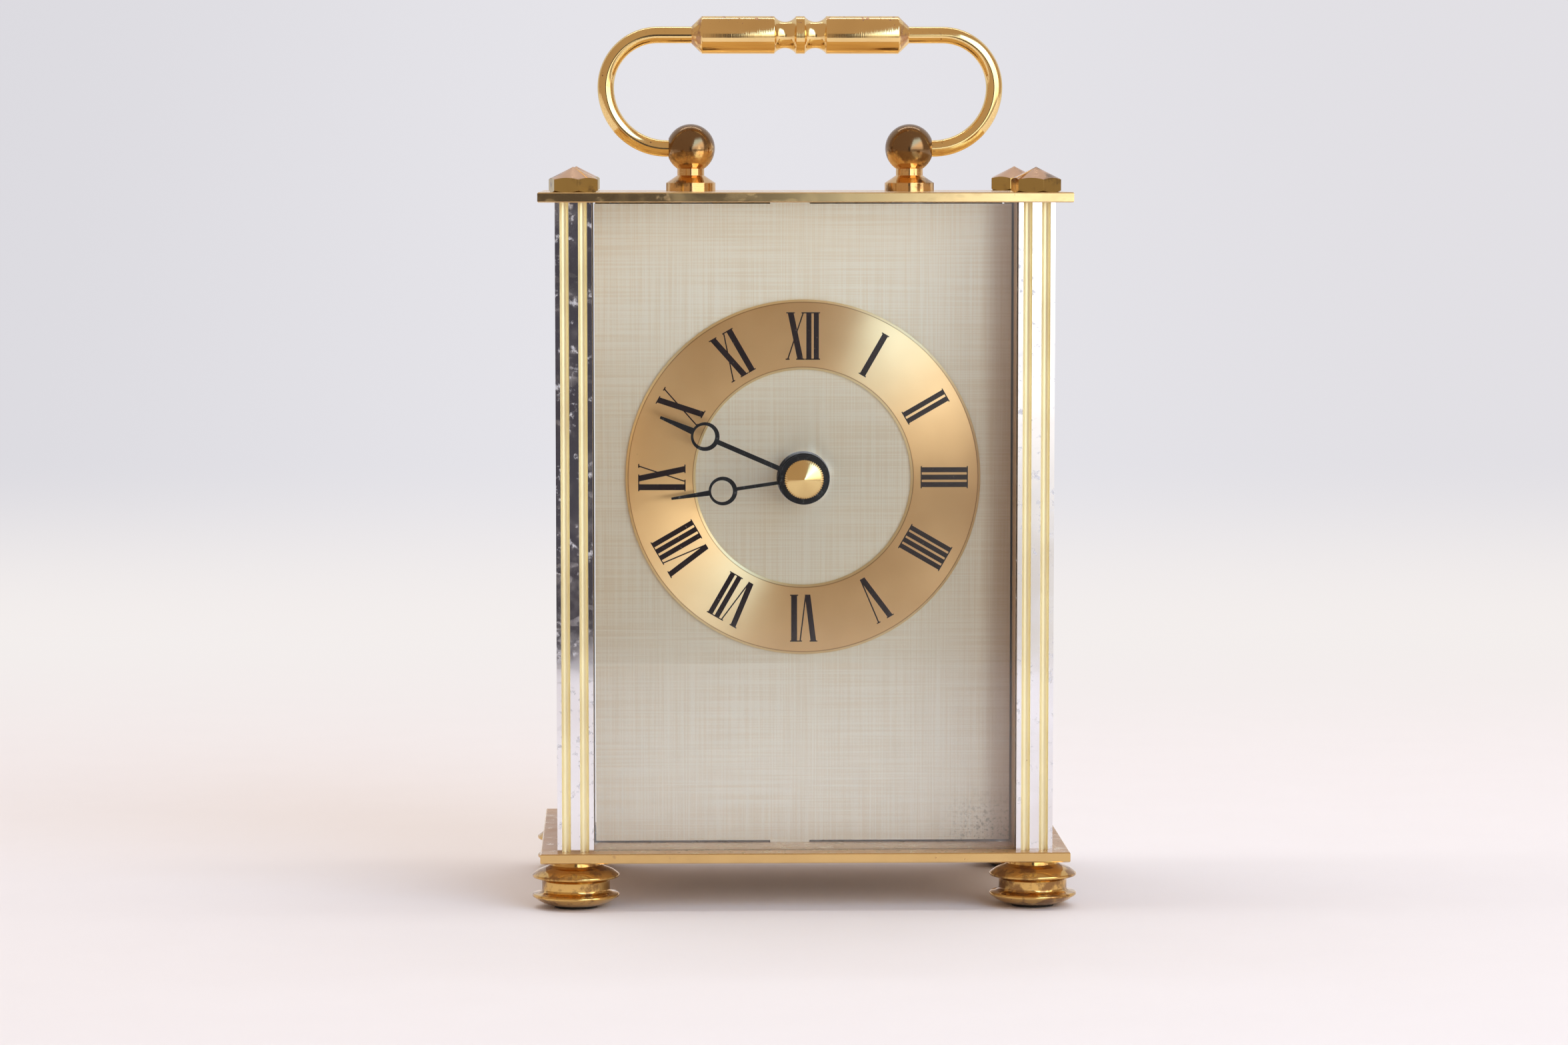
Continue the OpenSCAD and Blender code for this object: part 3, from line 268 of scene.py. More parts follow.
def turned(radius, height, turn, centre, axis):
    """Rings of a turned shape: centre + axis*height + radius*(side*cos(turn) + up*sin(turn)),
    in mm. radius and height hold a value for each ring, or for each ring and angle."""
    radius, height = (np.reshape(v, (len(v), -1, 1)) * MM for v in (radius, height))
    ways = np.eye(3)
    spoke = np.cos(turn)[:, None] * ways[(axis + 1) % 3] + np.sin(turn)[:, None] * ways[(axis + 2) % 3]
    return np.array(centre) + height * ways[axis] + radius * spoke


def round_turn(count):
    """Angles round a full turn: 2 pi times k over count, for k from 0 to count less 1."""
    return np.linspace(0, 2 * np.pi, count, endpoint=False)


def shape(name, points, faces, material):
    """A piece in the scene, made from its corners and from the corner numbers of each face."""
    mesh = bpy.data.meshes.new(name)
    mesh.from_pydata(points.reshape(-1, 3).tolist(), [], faces)
    mesh.materials.append(material)
    piece = bpy.data.objects.new(name, mesh)
    scene.collection.objects.link(piece)
    return piece


def skin(name, rings, material, loop=False, crease=32):
    """A closed skin over rings of points: each ring joins the next. With loop the last joins the
    first, and without it a fan closes each end. U goes round and V is mm along the profile. It
    is turned to face outwards if the volume inside it comes out less than 0."""
    count, around = rings.shape[:2]
    points = rings.reshape(-1, 3)
    i = np.arange(count if loop else count - 1)[:, None]
    j = np.arange(around)[None, :]
    near, far, on = i * around, (i + 1) % count * around, (j + 1) % around
    faces = [np.stack([near + j, near + on, far + on, far + j], -1).reshape(-1, 4)]
    line = np.vstack([rings[:, 0], rings[:1, 0]])
    run = np.concatenate([[0], np.cumsum(np.linalg.norm(np.diff(line, axis=0), axis=1))]) / MM
    u0, v0 = np.broadcast_arrays(j / around, run[i])
    u1, v1 = np.broadcast_arrays((j + 1) / around, run[i + 1])
    maps = [np.stack([np.stack([u0, v0], -1), np.stack([u1, v0], -1), np.stack([u1, v1], -1),
                      np.stack([u0, v1], -1)], 2).reshape(-1, 4, 2)]
    if not loop:
        points = np.vstack([points, rings[0].mean(0), rings[-1].mean(0)])
        k, spin = j[0], j[0] / around
        for ring, pole, a, b in ((0, count * around, on[0], k), (count - 1, count * around + 1, k, on[0])):
            faces.append(np.stack([np.full(around, pole), ring * around + a, ring * around + b], -1))
            reach = np.linalg.norm(rings[ring, 0] - points[pole]) / MM
            inner = run[ring] + (reach if ring else -reach)
            maps.append(np.stack([np.stack([spin, np.full(around, inner)], -1),
                                  np.stack([a / around, np.full(around, run[ring])], -1),
                                  np.stack([b / around, np.full(around, run[ring])], -1)], 1))
    volume = sum(np.einsum("ij,ij->", points[f[:, 0]], np.cross(points[f[:, k]], points[f[:, k + 1]]))
                 for f in faces for k in range(1, f.shape[1] - 1))
    if volume < 0:
        faces, maps = [f[:, ::-1] for f in faces], [m[:, ::-1] for m in maps]
    piece = shape(name, points, [row for f in faces for row in f.tolist()], material)
    layer = piece.data.uv_layers.new(name="turn")
    layer.data.foreach_set("uv", np.concatenate([m.reshape(-1) for m in maps]).astype(np.float32))
    piece.data.shade_smooth()
    piece.data.set_sharp_from_angle(angle=math.radians(crease))
    return piece


# Tool lines: uneven grooves, Pitch mm apart, at a place Along mm from where they start.
tool_lines, given, made = start_group("tool_lines", {"Along": 0.0, "Pitch": 0.2}, {"Height": "Float"})
closeness = maths(tool_lines, "DIVIDE", 1.0, given["Pitch"])
tool_lines.links.new(
    add(tool_lines, "TexNoise", {"W": given["Along"], "Detail": 2.0, "Scale": closeness},
        noise_dimensions="1D").outputs[0], made["Height"])


def lathe_lines(pitch):
    """A pattern of tool lines that follow a turned piece round."""
    def pattern(tree):
        """The tool lines' height at V, which is mm along the profile."""
        along = add(tree, "SeparateXYZ", {0: add(tree, "TexCoord").outputs["UV"]}).outputs["Y"]
        return add(tree, "Group", {"Along": along, "Pitch": pitch}, node_tree=tool_lines).outputs[0]
    return pattern


near_axis = 0.4
rod_bore, rod_deep = 1.52, 4.02
foot_rise, pad_bore, pad_deep = 6.8, 3.22, 0.4
rim_edge, rim_at, low_rim, high_rim = 0.3, 6.3, 1.49, 4.49
waist, waist_half, waist_lap, foot_end = 5.15, 1.23, 0.12, 3.9
# Between the rims the radius grows with the sixth power of the height from the waist's middle.
up = np.linspace(-1, 1, 21)[1:-1]
hollow = np.stack([waist + (rim_at + waist_lap - waist) * up ** 6,
                   (low_rim + high_rim) / 2 + waist_half * up], -1)
foot_profile = soften([
    [(near_axis, pad_deep), (pad_bore, pad_deep), (pad_bore, 0), (foot_end, 0), (4.4, 0.16),
     (5.0, 0.36), (5.7, 0.7)],
    arc((rim_at, low_rim), rim_edge, -60, 70), hollow, arc((rim_at, high_rim), rim_edge, -70, 50),
    [(5.7, 5.32), (5.0, 5.62), (4.4, 5.82), (foot_end, 6.1), (foot_end, foot_rise),
     (rod_bore, foot_rise), (rod_bore, foot_rise - rod_deep), (near_axis, foot_rise - rod_deep)]], 0.1)
foot_brass = metal("foot_brass", (0.76, 0.48, 0.16), (0.24, 0.11, 0.04), amount=0.54, patch=2.4,
                   specks=0.3, gloss=(0.07, 0.2), scuffed=0.04, dull=0.2,
                   pattern=lathe_lines(0.16), depth=0.004)
for corner in ("front_left", "front_right", "rear_left", "rear_right"):
    low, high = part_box("foot_" + corner)
    centre = ((low.x + high.x) / 2, (low.y + high.y) / 2, low.z)
    foot = skin("turned_foot_" + corner,
                turned(*foot_profile.T, round_turn(112), centre, 2), foot_brass)
    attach(foot, "clock_frame")
    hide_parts("foot_" + corner)

# ---- Foot pads ----
# Four discs of dark felt-like rubber, which the clock stands on. Each is let into the hollow
# in a foot's underside.


def moulded(name, colour, rough, cells, depth, uneven=0.25):
    """A moulded or fibrous stuff: its colour varies a little, over a fine grain."""
    material, tree = new_material(name)
    height = drawn(*cells)(tree)
    darker = tuple(c * (1 - uneven) for c in colour)
    lay_finish(tree, {"Base Color": tint(tree, rise(tree, height, 0.35, 0.65), (*darker, 1), (*colour, 1)),
                      "Roughness": scuffed_up(tree, rough, 0.12)})
    emboss(tree, height, depth)
    return material


dress(moulded("pad_felt", (0.035, 0.028, 0.022), 0.85, (3500, 3500, 3500), 0.08), "foot_pads")

# ---- Pillars and tie rods ----
# Square bars plated in bright silver, spotted and pitted with age, with two gilt flutes down
# their front and rear faces. A steel rod inside each pulls it tight between the plates.
material, tree = new_material("silver_and_gilt")
pillar_low, pillar_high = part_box("pillar_rear_right")
pillar_middle, pillar_face = (pillar_low.x + pillar_high.x) / 2, pillar_high.y
flute_r, flute_pitch = 0.65, 2.75
place = xyz(tree)
aside = maths(tree, "SUBTRACT", maths(tree, "ABSOLUTE", place["X"]), pillar_middle)
off = maths(tree, "SUBTRACT", maths(tree, "ABSOLUTE", aside), flute_pitch / 2 * MM)
deep = maths(tree, "SUBTRACT", maths(tree, "ABSOLUTE", place["Y"]), pillar_face)
reach = maths(tree, "SQRT", maths(tree, "ADD", maths(tree, "MULTIPLY", off, off),
                                  maths(tree, "MULTIPLY", deep, deep)))
gilt = rise(tree, reach, (flute_r + 0.03) * MM, (flute_r + 0.01) * MM)
silver = add(tree, "Group", {"Metal": (0.90, 0.90, 0.93, 1), "Stain": (0.60, 0.60, 0.64, 1),
                             "Amount": 0.36, "Patch": 1.6, "Specks": 0.1}, node_tree=patina)
gold = add(tree, "Group", {"Metal": (0.97, 0.88, 0.56, 1), "Stain": (0.5, 0.36, 0.16, 1),
                           "Amount": 0.1, "Patch": 2.0, "Specks": 0.1}, node_tree=patina)
spots = silver.outputs["Mask"]
silver_rough = scuffed_up(tree, between(tree, spots, 0.06, 0.35), 0.08)
lay_finish(tree, {"Base Color": tint(tree, gilt, silver.outputs["Color"], gold.outputs["Color"]),
                  "Metallic": between(tree, gilt, between(tree, spots, 1.0, 0.4), 0.55),
                  "Roughness": between(tree, gilt, silver_rough, 0.3)})
dress(material, "pillar_front_left", "pillar_front_right", "pillar_rear_left", "pillar_rear_right")
steel = metal("rod_steel", (0.56, 0.57, 0.58), (0.25, 0.2, 0.16), amount=0.25, gloss=(0.28, 0.5),
              pattern=drawn(800, 800, 3000), depth=0.01)
dress(steel, "tie_rods")

# ---- Side panels ----
# Thin brass sheets, whose edges lie in steps cut down the pillars. They close the case, and
# their inner faces show beside the dial.
dress(metal("side_brass", (0.58, 0.37, 0.18), (0.46, 0.27, 0.125), amount=0.5, patch=2.6, specks=0.25,
            worn=0.4, gloss=(0.36, 0.5), pattern=drawn(800, 2600, 40), depth=0.006),
      "side_panel_left", "side_panel_right")

# ---- Rear door, its knob, pins and pegs ----
# A brass sheet that swings on two steel pins and rests on two pegs when it is shut, with a
# turned brass knob near its free edge.
dress(metal("door_brass", (0.76, 0.55, 0.27), (0.32, 0.18, 0.07), amount=0.3, patch=4.5, specks=0.3,
            worn=0.5, gloss=(0.22, 0.4), pattern=drawn(2600, 900, 45), depth=0.006),
      "rear_door", "door_knob")
dress(steel, "door_pins", "door_pegs")

# ---- Quartz movement ----
# A black moulded case with its cover, held by a rubber washer and a nut through the dial.
# One cell, a stepping motor and two trains of wheels are inside.
dress(moulded("case_plastic", (0.022, 0.022, 0.024), 0.42, (2600, 2600, 2600), 0.02),
      "movement_case", "movement_cover")
dress(moulded("knob_plastic", (0.03, 0.03, 0.032), 0.38, (1800, 1800, 1800), 0.015), "setting_knob")
dress(moulded("washer_rubber", (0.02, 0.02, 0.02), 0.7, (3000, 3000, 3000), 0.03), "rubber_washer")
dress(moulded("wheel_nylon", (0.72, 0.70, 0.64), 0.38, (1200, 1200, 1200), 0.006, 0.08),
      "motion_wheel", "train_plate", "train_bridge", "third_wheel", "seconds_wheel", "fifth_wheel",
      "coil_bobbin")
dress(moulded("board_laminate", (0.05, 0.19, 0.07), 0.4, (700, 4000, 700), 0.02), "circuit_board")
dress(moulded("magnet_ferrite", (0.07, 0.065, 0.06), 0.45, (4000, 4000, 4000), 0.02), "rotor")
dress(metal("plated_nut", (0.82, 0.82, 0.84), (0.4, 0.38, 0.35), amount=0.12, gloss=(0.14, 0.3),
            pattern=drawn(300, 4000, 300), depth=0.004), "tube_nut")
dress(metal("arbor_brass", (0.78, 0.58, 0.28), (0.4, 0.25, 0.1), amount=0.1, gloss=(0.22, 0.35),
            pattern=drawn(2000, 300, 2000), depth=0.006), "minute_arbor", "hour_wheel", "drive_wheel")
dress(metal("stator_iron", (0.52, 0.51, 0.50), (0.3, 0.25, 0.2), amount=0.15, gloss=(0.35, 0.5),
            pattern=drawn(1800, 1800, 200), depth=0.01), "stator")
dress(metal("coil_copper", (0.80, 0.36, 0.18), (0.45, 0.2, 0.1), amount=0.1, gloss=(0.3, 0.4),
            pattern=drawn(200, 200, 9000), depth=0.03), "coil_winding")
dress(metal("can_nickel", (0.74, 0.73, 0.70), (0.4, 0.38, 0.34), amount=0.12, gloss=(0.2, 0.4),
            pattern=drawn(1500, 1500, 1500), depth=0.004), "quartz_crystal", "battery_contacts")
dress(steel, "cover_screws")

# The cell's printed sleeve is dark along its length, with a copper band at the raised end.
material, tree = new_material("cell_sleeve")
cell_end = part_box("battery")[1].x
band = rise(tree, xyz(tree)["X"], cell_end - 15 * MM, cell_end - 14.8 * MM)
lay_finish(tree, {"Base Color": tint(tree, band, (0.03, 0.03, 0.035, 1), (0.62, 0.33, 0.14, 1)),
                  "Metallic": between(tree, band, 0.1, 0.8),
                  "Roughness": scuffed_up(tree, 0.22, 0.15)})
dress(material, "battery")

# ---- Dial plate ----
# Champagne-lacquered brass, brushed both ways so that fine lines cross like linen. Painted shade
# darkens it across its middle and a painted shadow browns its right edge, and dust and a little
# green corrosion lie in its lower right corner.
material, tree = new_material("dial_linen")
dial_low, dial_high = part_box("dial_plate")


def threads(across, up, detail=1.0):
    """Noise drawn out into threads, with across and up cells a metre."""
    place = add(tree, "VectorMath", {0: spot(tree), 1: (across, 1.0, up)}, operation="MULTIPLY")
    return noise(tree, place.outputs[0], 1.0, detail)


weave = maths(tree, "ADD", threads(4400.0, 50.0), threads(50.0, 4400.0))
slubs = maths(tree, "ADD", threads(1100.0, 14.0), threads(14.0, 1100.0))
cloth = maths(tree, "ADD", weave, maths(tree, "MULTIPLY", 0.2, slubs))
colour = tint(tree, rise(tree, cloth, 0.9, 1.45), (0.93, 0.86, 0.70, 1), (1.0, 0.98, 0.86, 1))
place = xyz(tree)
off = maths(tree, "ABSOLUTE", maths(tree, "SUBTRACT", place["Z"], (dial_low.z + dial_high.z) / 2))
# Painted shade: a darker band across the dial's middle.
painted_shade_band = maths(tree, "MULTIPLY", rise(tree, off, 44 * MM, 12 * MM), 0.95)
colour = tint(tree, painted_shade_band, colour, (0.80, 0.76, 0.70, 1), "MULTIPLY")
# Painted shadow: a browner strip down the dial's right edge, beside the right pillar.
painted_shadow_strip = rise(tree, place["X"], dial_high.x - 5.2 * MM, dial_high.x - 1.5 * MM)
colour = tint(tree, painted_shadow_strip, colour, (0.66, 0.58, 0.54, 1), "MULTIPLY")
corner = maths(tree, "MULTIPLY", rise(tree, place["X"], dial_high.x - 13 * MM, dial_high.x - 2 * MM),
               rise(tree, place["Z"], dial_low.z + 11 * MM, dial_low.z + 2 * MM))
bits = noise(tree, spot(tree), 1700.0, 5.0, 0.75)
grime = maths(tree, "MULTIPLY", corner, rise(tree, bits, 0.5, 0.62))
# Each small spot is brushed either upright or level, and gleams across its own lines.
level = rise(tree, threads(7000.0, 7000.0, 0.0), 0.49, 0.51)
colour = tint(tree, maths(tree, "MULTIPLY", grime, 0.7), colour, (0.34, 0.35, 0.25, 1))
lay_finish(tree, {"Base Color": colour, "Metallic": 0.66, "Specular IOR Level": 0.2, "Anisotropic": 1.0,
                  "Anisotropic Rotation": maths(tree, "MULTIPLY", level, 0.25),
                  "Roughness": maths(tree, "ADD", 0.39, maths(tree, "MULTIPLY", grime, 0.3))})
emboss(tree, weave, 0.0015)
dress(material, "dial_plate")

# ---- Chapter ring ----
# Gold-plated ring, spun in circles so that it gleams in two broad fans. Both bevels carry a painted
# highlight that makes them paler, with a brown line where they meet its face. It is stuck to the dial.


def gleam(material, amount):
    """Draws a turned metal's highlights out across its tool lines, by amount."""
    tree = material.node_tree
    round_it = add(tree, "Tangent", direction_type="UV_MAP", uv_map="turn").outputs[0]
    lay_finish(tree, {"Anisotropic": amount, "Anisotropic Rotation": 0.25, "Tangent": round_it})


ring_low, ring_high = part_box("chapter_ring")
dial_centre = ((ring_low.x + ring_high.x) / 2, ring_high.y, (ring_low.z + ring_high.z) / 2)
ring_out, ring_in = (ring_high.x - ring_low.x) / 2 / MM, 16.4
ring_thick, bevel, ring_start = (ring_high.y - ring_low.y) / MM, 0.4, 0.2
ring_profile = soften([[(ring_in, -ring_start), (ring_in, 0), (ring_out, 0), (ring_out, bevel - ring_thick),
                        (ring_out - bevel, -ring_thick), (ring_in + bevel, -ring_thick),
                        (ring_in, bevel - ring_thick)]], 0.05)
material = metal("spun_gold", (0.84, 0.57, 0.285), (0.5, 0.3, 0.14), amount=0.0, patch=4.0,
                 specks=0.03, gloss=(0.33, 0.4), scuffed=0.0, pattern=lathe_lines(0.14), depth=0.002)
gleam(material, 1.0)
tree, aged = patina_of(material)
# Both marks follow the distance from the ring's nearer edge, seen from the front.
out_from = add(tree, "VectorMath", {0: spot(tree), 1: (dial_centre[0], ring_low.y, dial_centre[2])},
               operation="DISTANCE").outputs["Value"]
from_middle = maths(tree, "ABSOLUTE", maths(tree, "SUBTRACT", out_from, (ring_out + ring_in) / 2 * MM))
from_edge = maths(tree, "SUBTRACT", (ring_out - ring_in) / 2 * MM, from_middle)
painted_bevel_highlight = rise(tree, from_edge, 0.45 * MM, 0.38 * MM)
# A brown line where each bevel meets the ring's face.
seam_line = maths(tree, "MULTIPLY", rise(tree, from_edge, 0.30 * MM, 0.36 * MM),
              rise(tree, from_edge, 0.50 * MM, 0.44 * MM))
# Painted highlight: the bevels are tinted paler than the ring's face.
colour = tint(tree, painted_bevel_highlight, aged.outputs["Color"], (1.0, 0.80, 0.45, 1))
colour = tint(tree, maths(tree, "MULTIPLY", seam_line, 0.8), colour, (0.42, 0.22, 0.09, 1))
lay_finish(tree, {"Base Color": colour, "Roughness": between(tree, painted_bevel_highlight, 0.30, 0.42)})
ring = skin("spun_ring", turned(*ring_profile.T, round_turn(240), dial_centre, 1), material,
            loop=True, crease=25)
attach(ring, "clock_frame")
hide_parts("chapter_ring")

# ---- Numerals ----
# Roman numerals printed in black on the ring, their feet to the middle: broad strokes, hair
# strokes and thin serifs, with four written as four strokes.
material, tree = new_material("printed_black")
worn = noise(tree, spot(tree), 2600.0, 3.0)
lay_finish(tree, {"Base Color": tint(tree, rise(tree, worn, 0.66, 0.74), (0.020, 0.011, 0.011, 1),
                                     (0.16, 0.11, 0.08, 1)),
                  "Roughness": between(tree, rise(tree, worn, 0.4, 0.7), 0.38, 0.55),
                  "Specular IOR Level": 0.15})
numeral_foot, numeral_rise, serif, over, letter_gap = 17.9, 7.2, 0.17, 0.18, 0.02


def stroke(foot, head, width, low=0.0, high=1.0):
    """A stroke whose middle goes from foot to head across the numeral: left and right edges at
    its lower and its upper end, as shares of the numeral's height."""
    at = [foot + (head - foot) * share for share in (low, high)]
    return [(at[0] - width / 2, low), (at[0] + width / 2, low), (at[1] + width / 2, high),
            (at[1] - width / 2, high)]


def cap(left, right, high):
    """A serif from left to right at a numeral's head if high, or at its foot."""
    share, middle = serif / numeral_rise, (left + right) / 2
    return stroke(middle, middle, right - left, 1 - share if high else 0, 1 if high else share)


def letter(kind, count):
    """The strokes of one letter and its width: V, X, or count uprights that share serifs."""
    if kind == "V":
        return [stroke(1.35, 0.45, 0.84), stroke(1.62, 2.5, 0.2), cap(-0.15, 1.05, True),
                cap(2.2, 2.8, True)], 2.75
    if kind == "X":
        return [stroke(2.15, 0.65, 0.9), stroke(0.2, 2.6, 0.2), cap(0, 1.3, True), cap(2.3, 2.9, True),
                cap(1.5, 2.8, False), cap(-0.1, 0.5, False)], 2.85
    width, gap = {1: (0.9, 0), 2: (0.77, 0.36), 3: (0.77, 0.36), 4: (0.72, 0.33)}[count]
    uprights = [over + width / 2 + k * (width + gap) for k in range(count)]
    whole = count * width + (count - 1) * gap + 2 * over
    return [stroke(x, x, width) for x in uprights] + [cap(0, whole, True), cap(0, whole, False)], whole


def numeral(letters, hour):
    """A numeral's strokes as corners in metres across and out, turned 30 degrees for each hour."""
    strokes, width = [], 0.0
    for kind, run in groupby(letters):
        made, wide = letter(kind, len(list(run)))
        strokes.append(np.array(made) + np.array([width, 0]))
        width += wide + letter_gap
    flat = np.concatenate(strokes)
    across, out = flat[..., 0] - width / 2, numeral_foot + flat[..., 1] * numeral_rise
    angle = math.radians(30 * hour)
    return np.stack([across * math.cos(angle) + out * math.sin(angle),
                     out * math.cos(angle) - across * math.sin(angle)], -1) * MM


hours = "I II III IIII V VI VII VIII IX X XI XII".split()
flat = np.concatenate([numeral(letters, hour + 1) for hour, letters in enumerate(hours)])
count = len(flat)
# Strokes that cross lie at slightly different heights, so that no two faces are in one place.
ink_rise, ink_step, ink_sunk = 0.012, 0.0004, 0.004
print_y = ring_low.y - (ink_rise + ink_step * (np.arange(count) % 12)) * MM
front = np.stack([flat[..., 0] + dial_centre[0], np.repeat(print_y[:, None], 4, 1),
                  flat[..., 1] + dial_centre[2]], -1)
back = front.copy()
back[..., 1] = ring_low.y + ink_sunk * MM
first = np.arange(count)[:, None] * 8
box_faces = np.array([[0, 1, 2, 3], [7, 6, 5, 4], [0, 4, 5, 1], [1, 5, 6, 2], [2, 6, 7, 3], [3, 7, 4, 0]])
numerals = shape("numerals", np.concatenate([front, back], 1),
                 (first[:, :, None] + box_faces).reshape(-1, 4).tolist(), material)
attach(numerals, "clock_frame")

# ---- Hands ----
# Stamped steel hands in satin black paint, each with an open ring. They sit on the hour
# wheel's tube and the minute arbor, and dust shows on the black.
material, tree = new_material("hand_paint")
dust = noise(tree, spot(tree), 1400.0, 5.0, 0.7)
dusty = rise(tree, dust, 0.56, 0.74)
lay_finish(tree, {"Base Color": tint(tree, maths(tree, "MULTIPLY", dusty, 0.6), (0.010, 0.010, 0.011, 1),
                                     (0.16, 0.17, 0.18, 1)),
                  "Roughness": between(tree, dusty, 0.3, 0.6), "Specular IOR Level": 0.25})
emboss(tree, dust, 0.004)
dress(material, "hour_hand", "minute_hand")

# ---- Hand nut ----
# Small gold nut turned to a cone, with a knurled rim to grip. It screws on to the minute
# arbor, in front of the hands.
nut_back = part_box("hand_nut")[1].y
knurls, rim_r, root_r, rim_h, rim_round = 52, 2.985, 2.855, 1.0, 0.1
thread_r, thread_deep = 1.22, 0.92
cone_h, cone_step, cone_foot, cone_tip = 1.4, 0.08, 2.72, 0.1
turn = round_turn(knurls * 8)
even, cone = np.ones_like(turn), np.linspace(0, 1, 11)[:, None]
# The rim's radius swings between root and rim with the cosine of knurls times the angle.
wave = root_r + (rim_r - root_r) * (0.5 + 0.5 * np.cos(knurls * turn))
nut_radius = np.vstack([near_axis * even, thread_r * even, thread_r * even, wave - rim_round, wave, wave,
                        (cone_foot * (1 - cone) + cone_tip * cone) * even])
nut_height = np.array([thread_deep, thread_deep, 0.0, 0.0, rim_round, rim_h - rim_round,
                       *(rim_h + cone_step + (cone_h - cone_step) * cone[:, 0])])
material = metal("nut_gold", (0.88, 0.63, 0.28), (0.4, 0.22, 0.06), amount=0.02, specks=0.08,
                 gloss=(0.2, 0.3), scuffed=0.01, pattern=lathe_lines(0.08), depth=0.002)
gleam(material, 0.9)
nut = skin("knurled_nut",
           turned(nut_radius, -nut_height, turn, (dial_centre[0], nut_back, dial_centre[2]), 1),
           material, crease=28)
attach(nut, "minute_work")
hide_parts("hand_nut")

# ---- Front glass ----
# Thick polished glass that stands in the front pillars' grooves, with a film of dust and
# finger marks. More dust has settled toward its foot.
material, tree = new_material("clear_glass")
film = noise(tree, spot(tree), 160.0, 4.0)
lay_finish(tree, {"Base Color": (0.985, 0.998, 0.995, 1), "Transmission Weight": 1.0, "IOR": 1.5,
                  "Roughness": between(tree, rise(tree, film, 0.5, 0.75), 0.0, 0.03)})


def blend(tree, share, a, b):
    """A shader that goes from a to b with share."""
    return add(tree, "MixShader", {0: share, 1: a.outputs[0], 2: b.outputs[0]})


def surface(tree, shader):
    """Makes shader the material's surface."""
    tree.links.new(shader.outputs[0], tree.nodes["Material Output"].inputs["Surface"])


def seen_first(tree):
    """1 on a ray straight from the camera, and 0 on one that has bounced or goes to a lamp."""
    return add(tree, "LightPath").outputs["Is Camera Ray"]


passing = blend(tree, seen_first(tree), add(tree, "BsdfTransparent", {0: (0.98, 0.99, 0.988, 1)}),
                tree.nodes["Principled BSDF"])
settled = maths(tree, "MULTIPLY", between(tree, film, 0.03, 0.10),
                rise(tree, xyz(tree)["Z"], 50 * MM, 22 * MM))
surface(tree, blend(tree, settled, passing, add(tree, "BsdfDiffuse", {0: (0.95, 0.92, 0.90, 1)})))
dress(material, "front_glass")

# ---- Handle posts and their nuts ----
# Turned brass posts that go through the top plate, with a steel nut on each underneath. Their
# balls have gone brown, the necks less.


def level_lines(pitch):
    """A pattern of tool lines round an upright piece, one above the other."""
    def pattern(tree):
        """The tool lines' height at Z, in mm."""
        up = maths(tree, "MULTIPLY", xyz(tree)["Z"], 1 / MM)
        return add(tree, "Group", {"Along": up, "Pitch": pitch}, node_tree=tool_lines).outputs[0]
    return pattern


material = metal("post_bronze", (0.78, 0.50, 0.22), (0.14, 0.075, 0.035), patch=3.4, specks=0.3,
                 gloss=(0.08, 0.15), scuffed=0.04, dull=0.1, pattern=level_lines(0.14), depth=0.006)
tree, aged = patina_of(material)
post_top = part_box("handle_post_left")[1].z
ball = rise(tree, xyz(tree)["Z"], post_top - 7.4 * MM, post_top - 1.5 * MM)
fill(tree, aged, {"Amount": between(tree, ball, 0.45, 1.0)})
dress(material, "handle_post_left", "handle_post_right")
dress(steel, "post_nuts")

# ---- Bail handle ----
# Two bent brass rods pressed into a turned grip. It is polished by use, with brown specks
# along the top of the grip.
dress(metal("rod_brass", (0.92, 0.67, 0.29), (0.36, 0.19, 0.08), amount=0.26, patch=1.4, specks=0.3,
            gloss=(0.09, 0.2), scuffed=0.04, dull=0.15),
      "bail_rod_left", "bail_rod_right")
grip_low, grip_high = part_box("handle_grip")
grip_half, grip_r = (grip_high.x - grip_low.x) / 2 / MM, 2.9
end_cone, end_r, bore, seat = 1.6, 1.325, 1.295, 9.02
bead, waist_end, waist_deep, waist_r = 0.65, 4.0, 0.87, 2.047
waist_turn = math.degrees(math.asin((waist_end - bead) / 2 / waist_r))
waist_mid = ((bead + waist_end) / 2, grip_r - waist_deep + waist_r)
right = np.vstack([[(bead, grip_r)], arc(waist_mid, waist_r, 270 - waist_turn, 270 + waist_turn, 20),
                   [(grip_half - end_cone, grip_r), (grip_half, end_r), (grip_half, bore),
                    (grip_half - seat, bore), (grip_half - seat, near_axis)]])
grip_profile = soften([right[::-1] * (-1, 1), right], 0.09)
material = metal("grip_brass", (0.92, 0.66, 0.29), (0.46, 0.25, 0.14), amount=0.12, patch=2.0,
                 specks=0.25, gloss=(0.11, 0.24), scuffed=0.04, dull=0.25,
                 pattern=lathe_lines(0.13), depth=0.006)
tree, aged = patina_of(material)
place = xyz(tree)
upper = rise(tree, place["Z"], grip_high.z - 1.9 * MM, grip_high.z - 0.2 * MM)
ends = rise(tree, maths(tree, "ABSOLUTE", place["X"]), grip_high.x - 1.8 * MM, grip_high.x - 1.2 * MM)
fill(tree, aged, {"Specks": between(tree, upper, 0.2, 0.95), "Amount": between(tree, ends, 0.12, 0.6)})
grip = skin("turned_grip", turned(grip_profile[:, 1], grip_profile[:, 0], round_turn(96),
                                  (0, (grip_low.y + grip_high.y) / 2, (grip_low.z + grip_high.z) / 2), 0),
            material, crease=38)
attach(grip, "handle")
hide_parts("handle_grip")
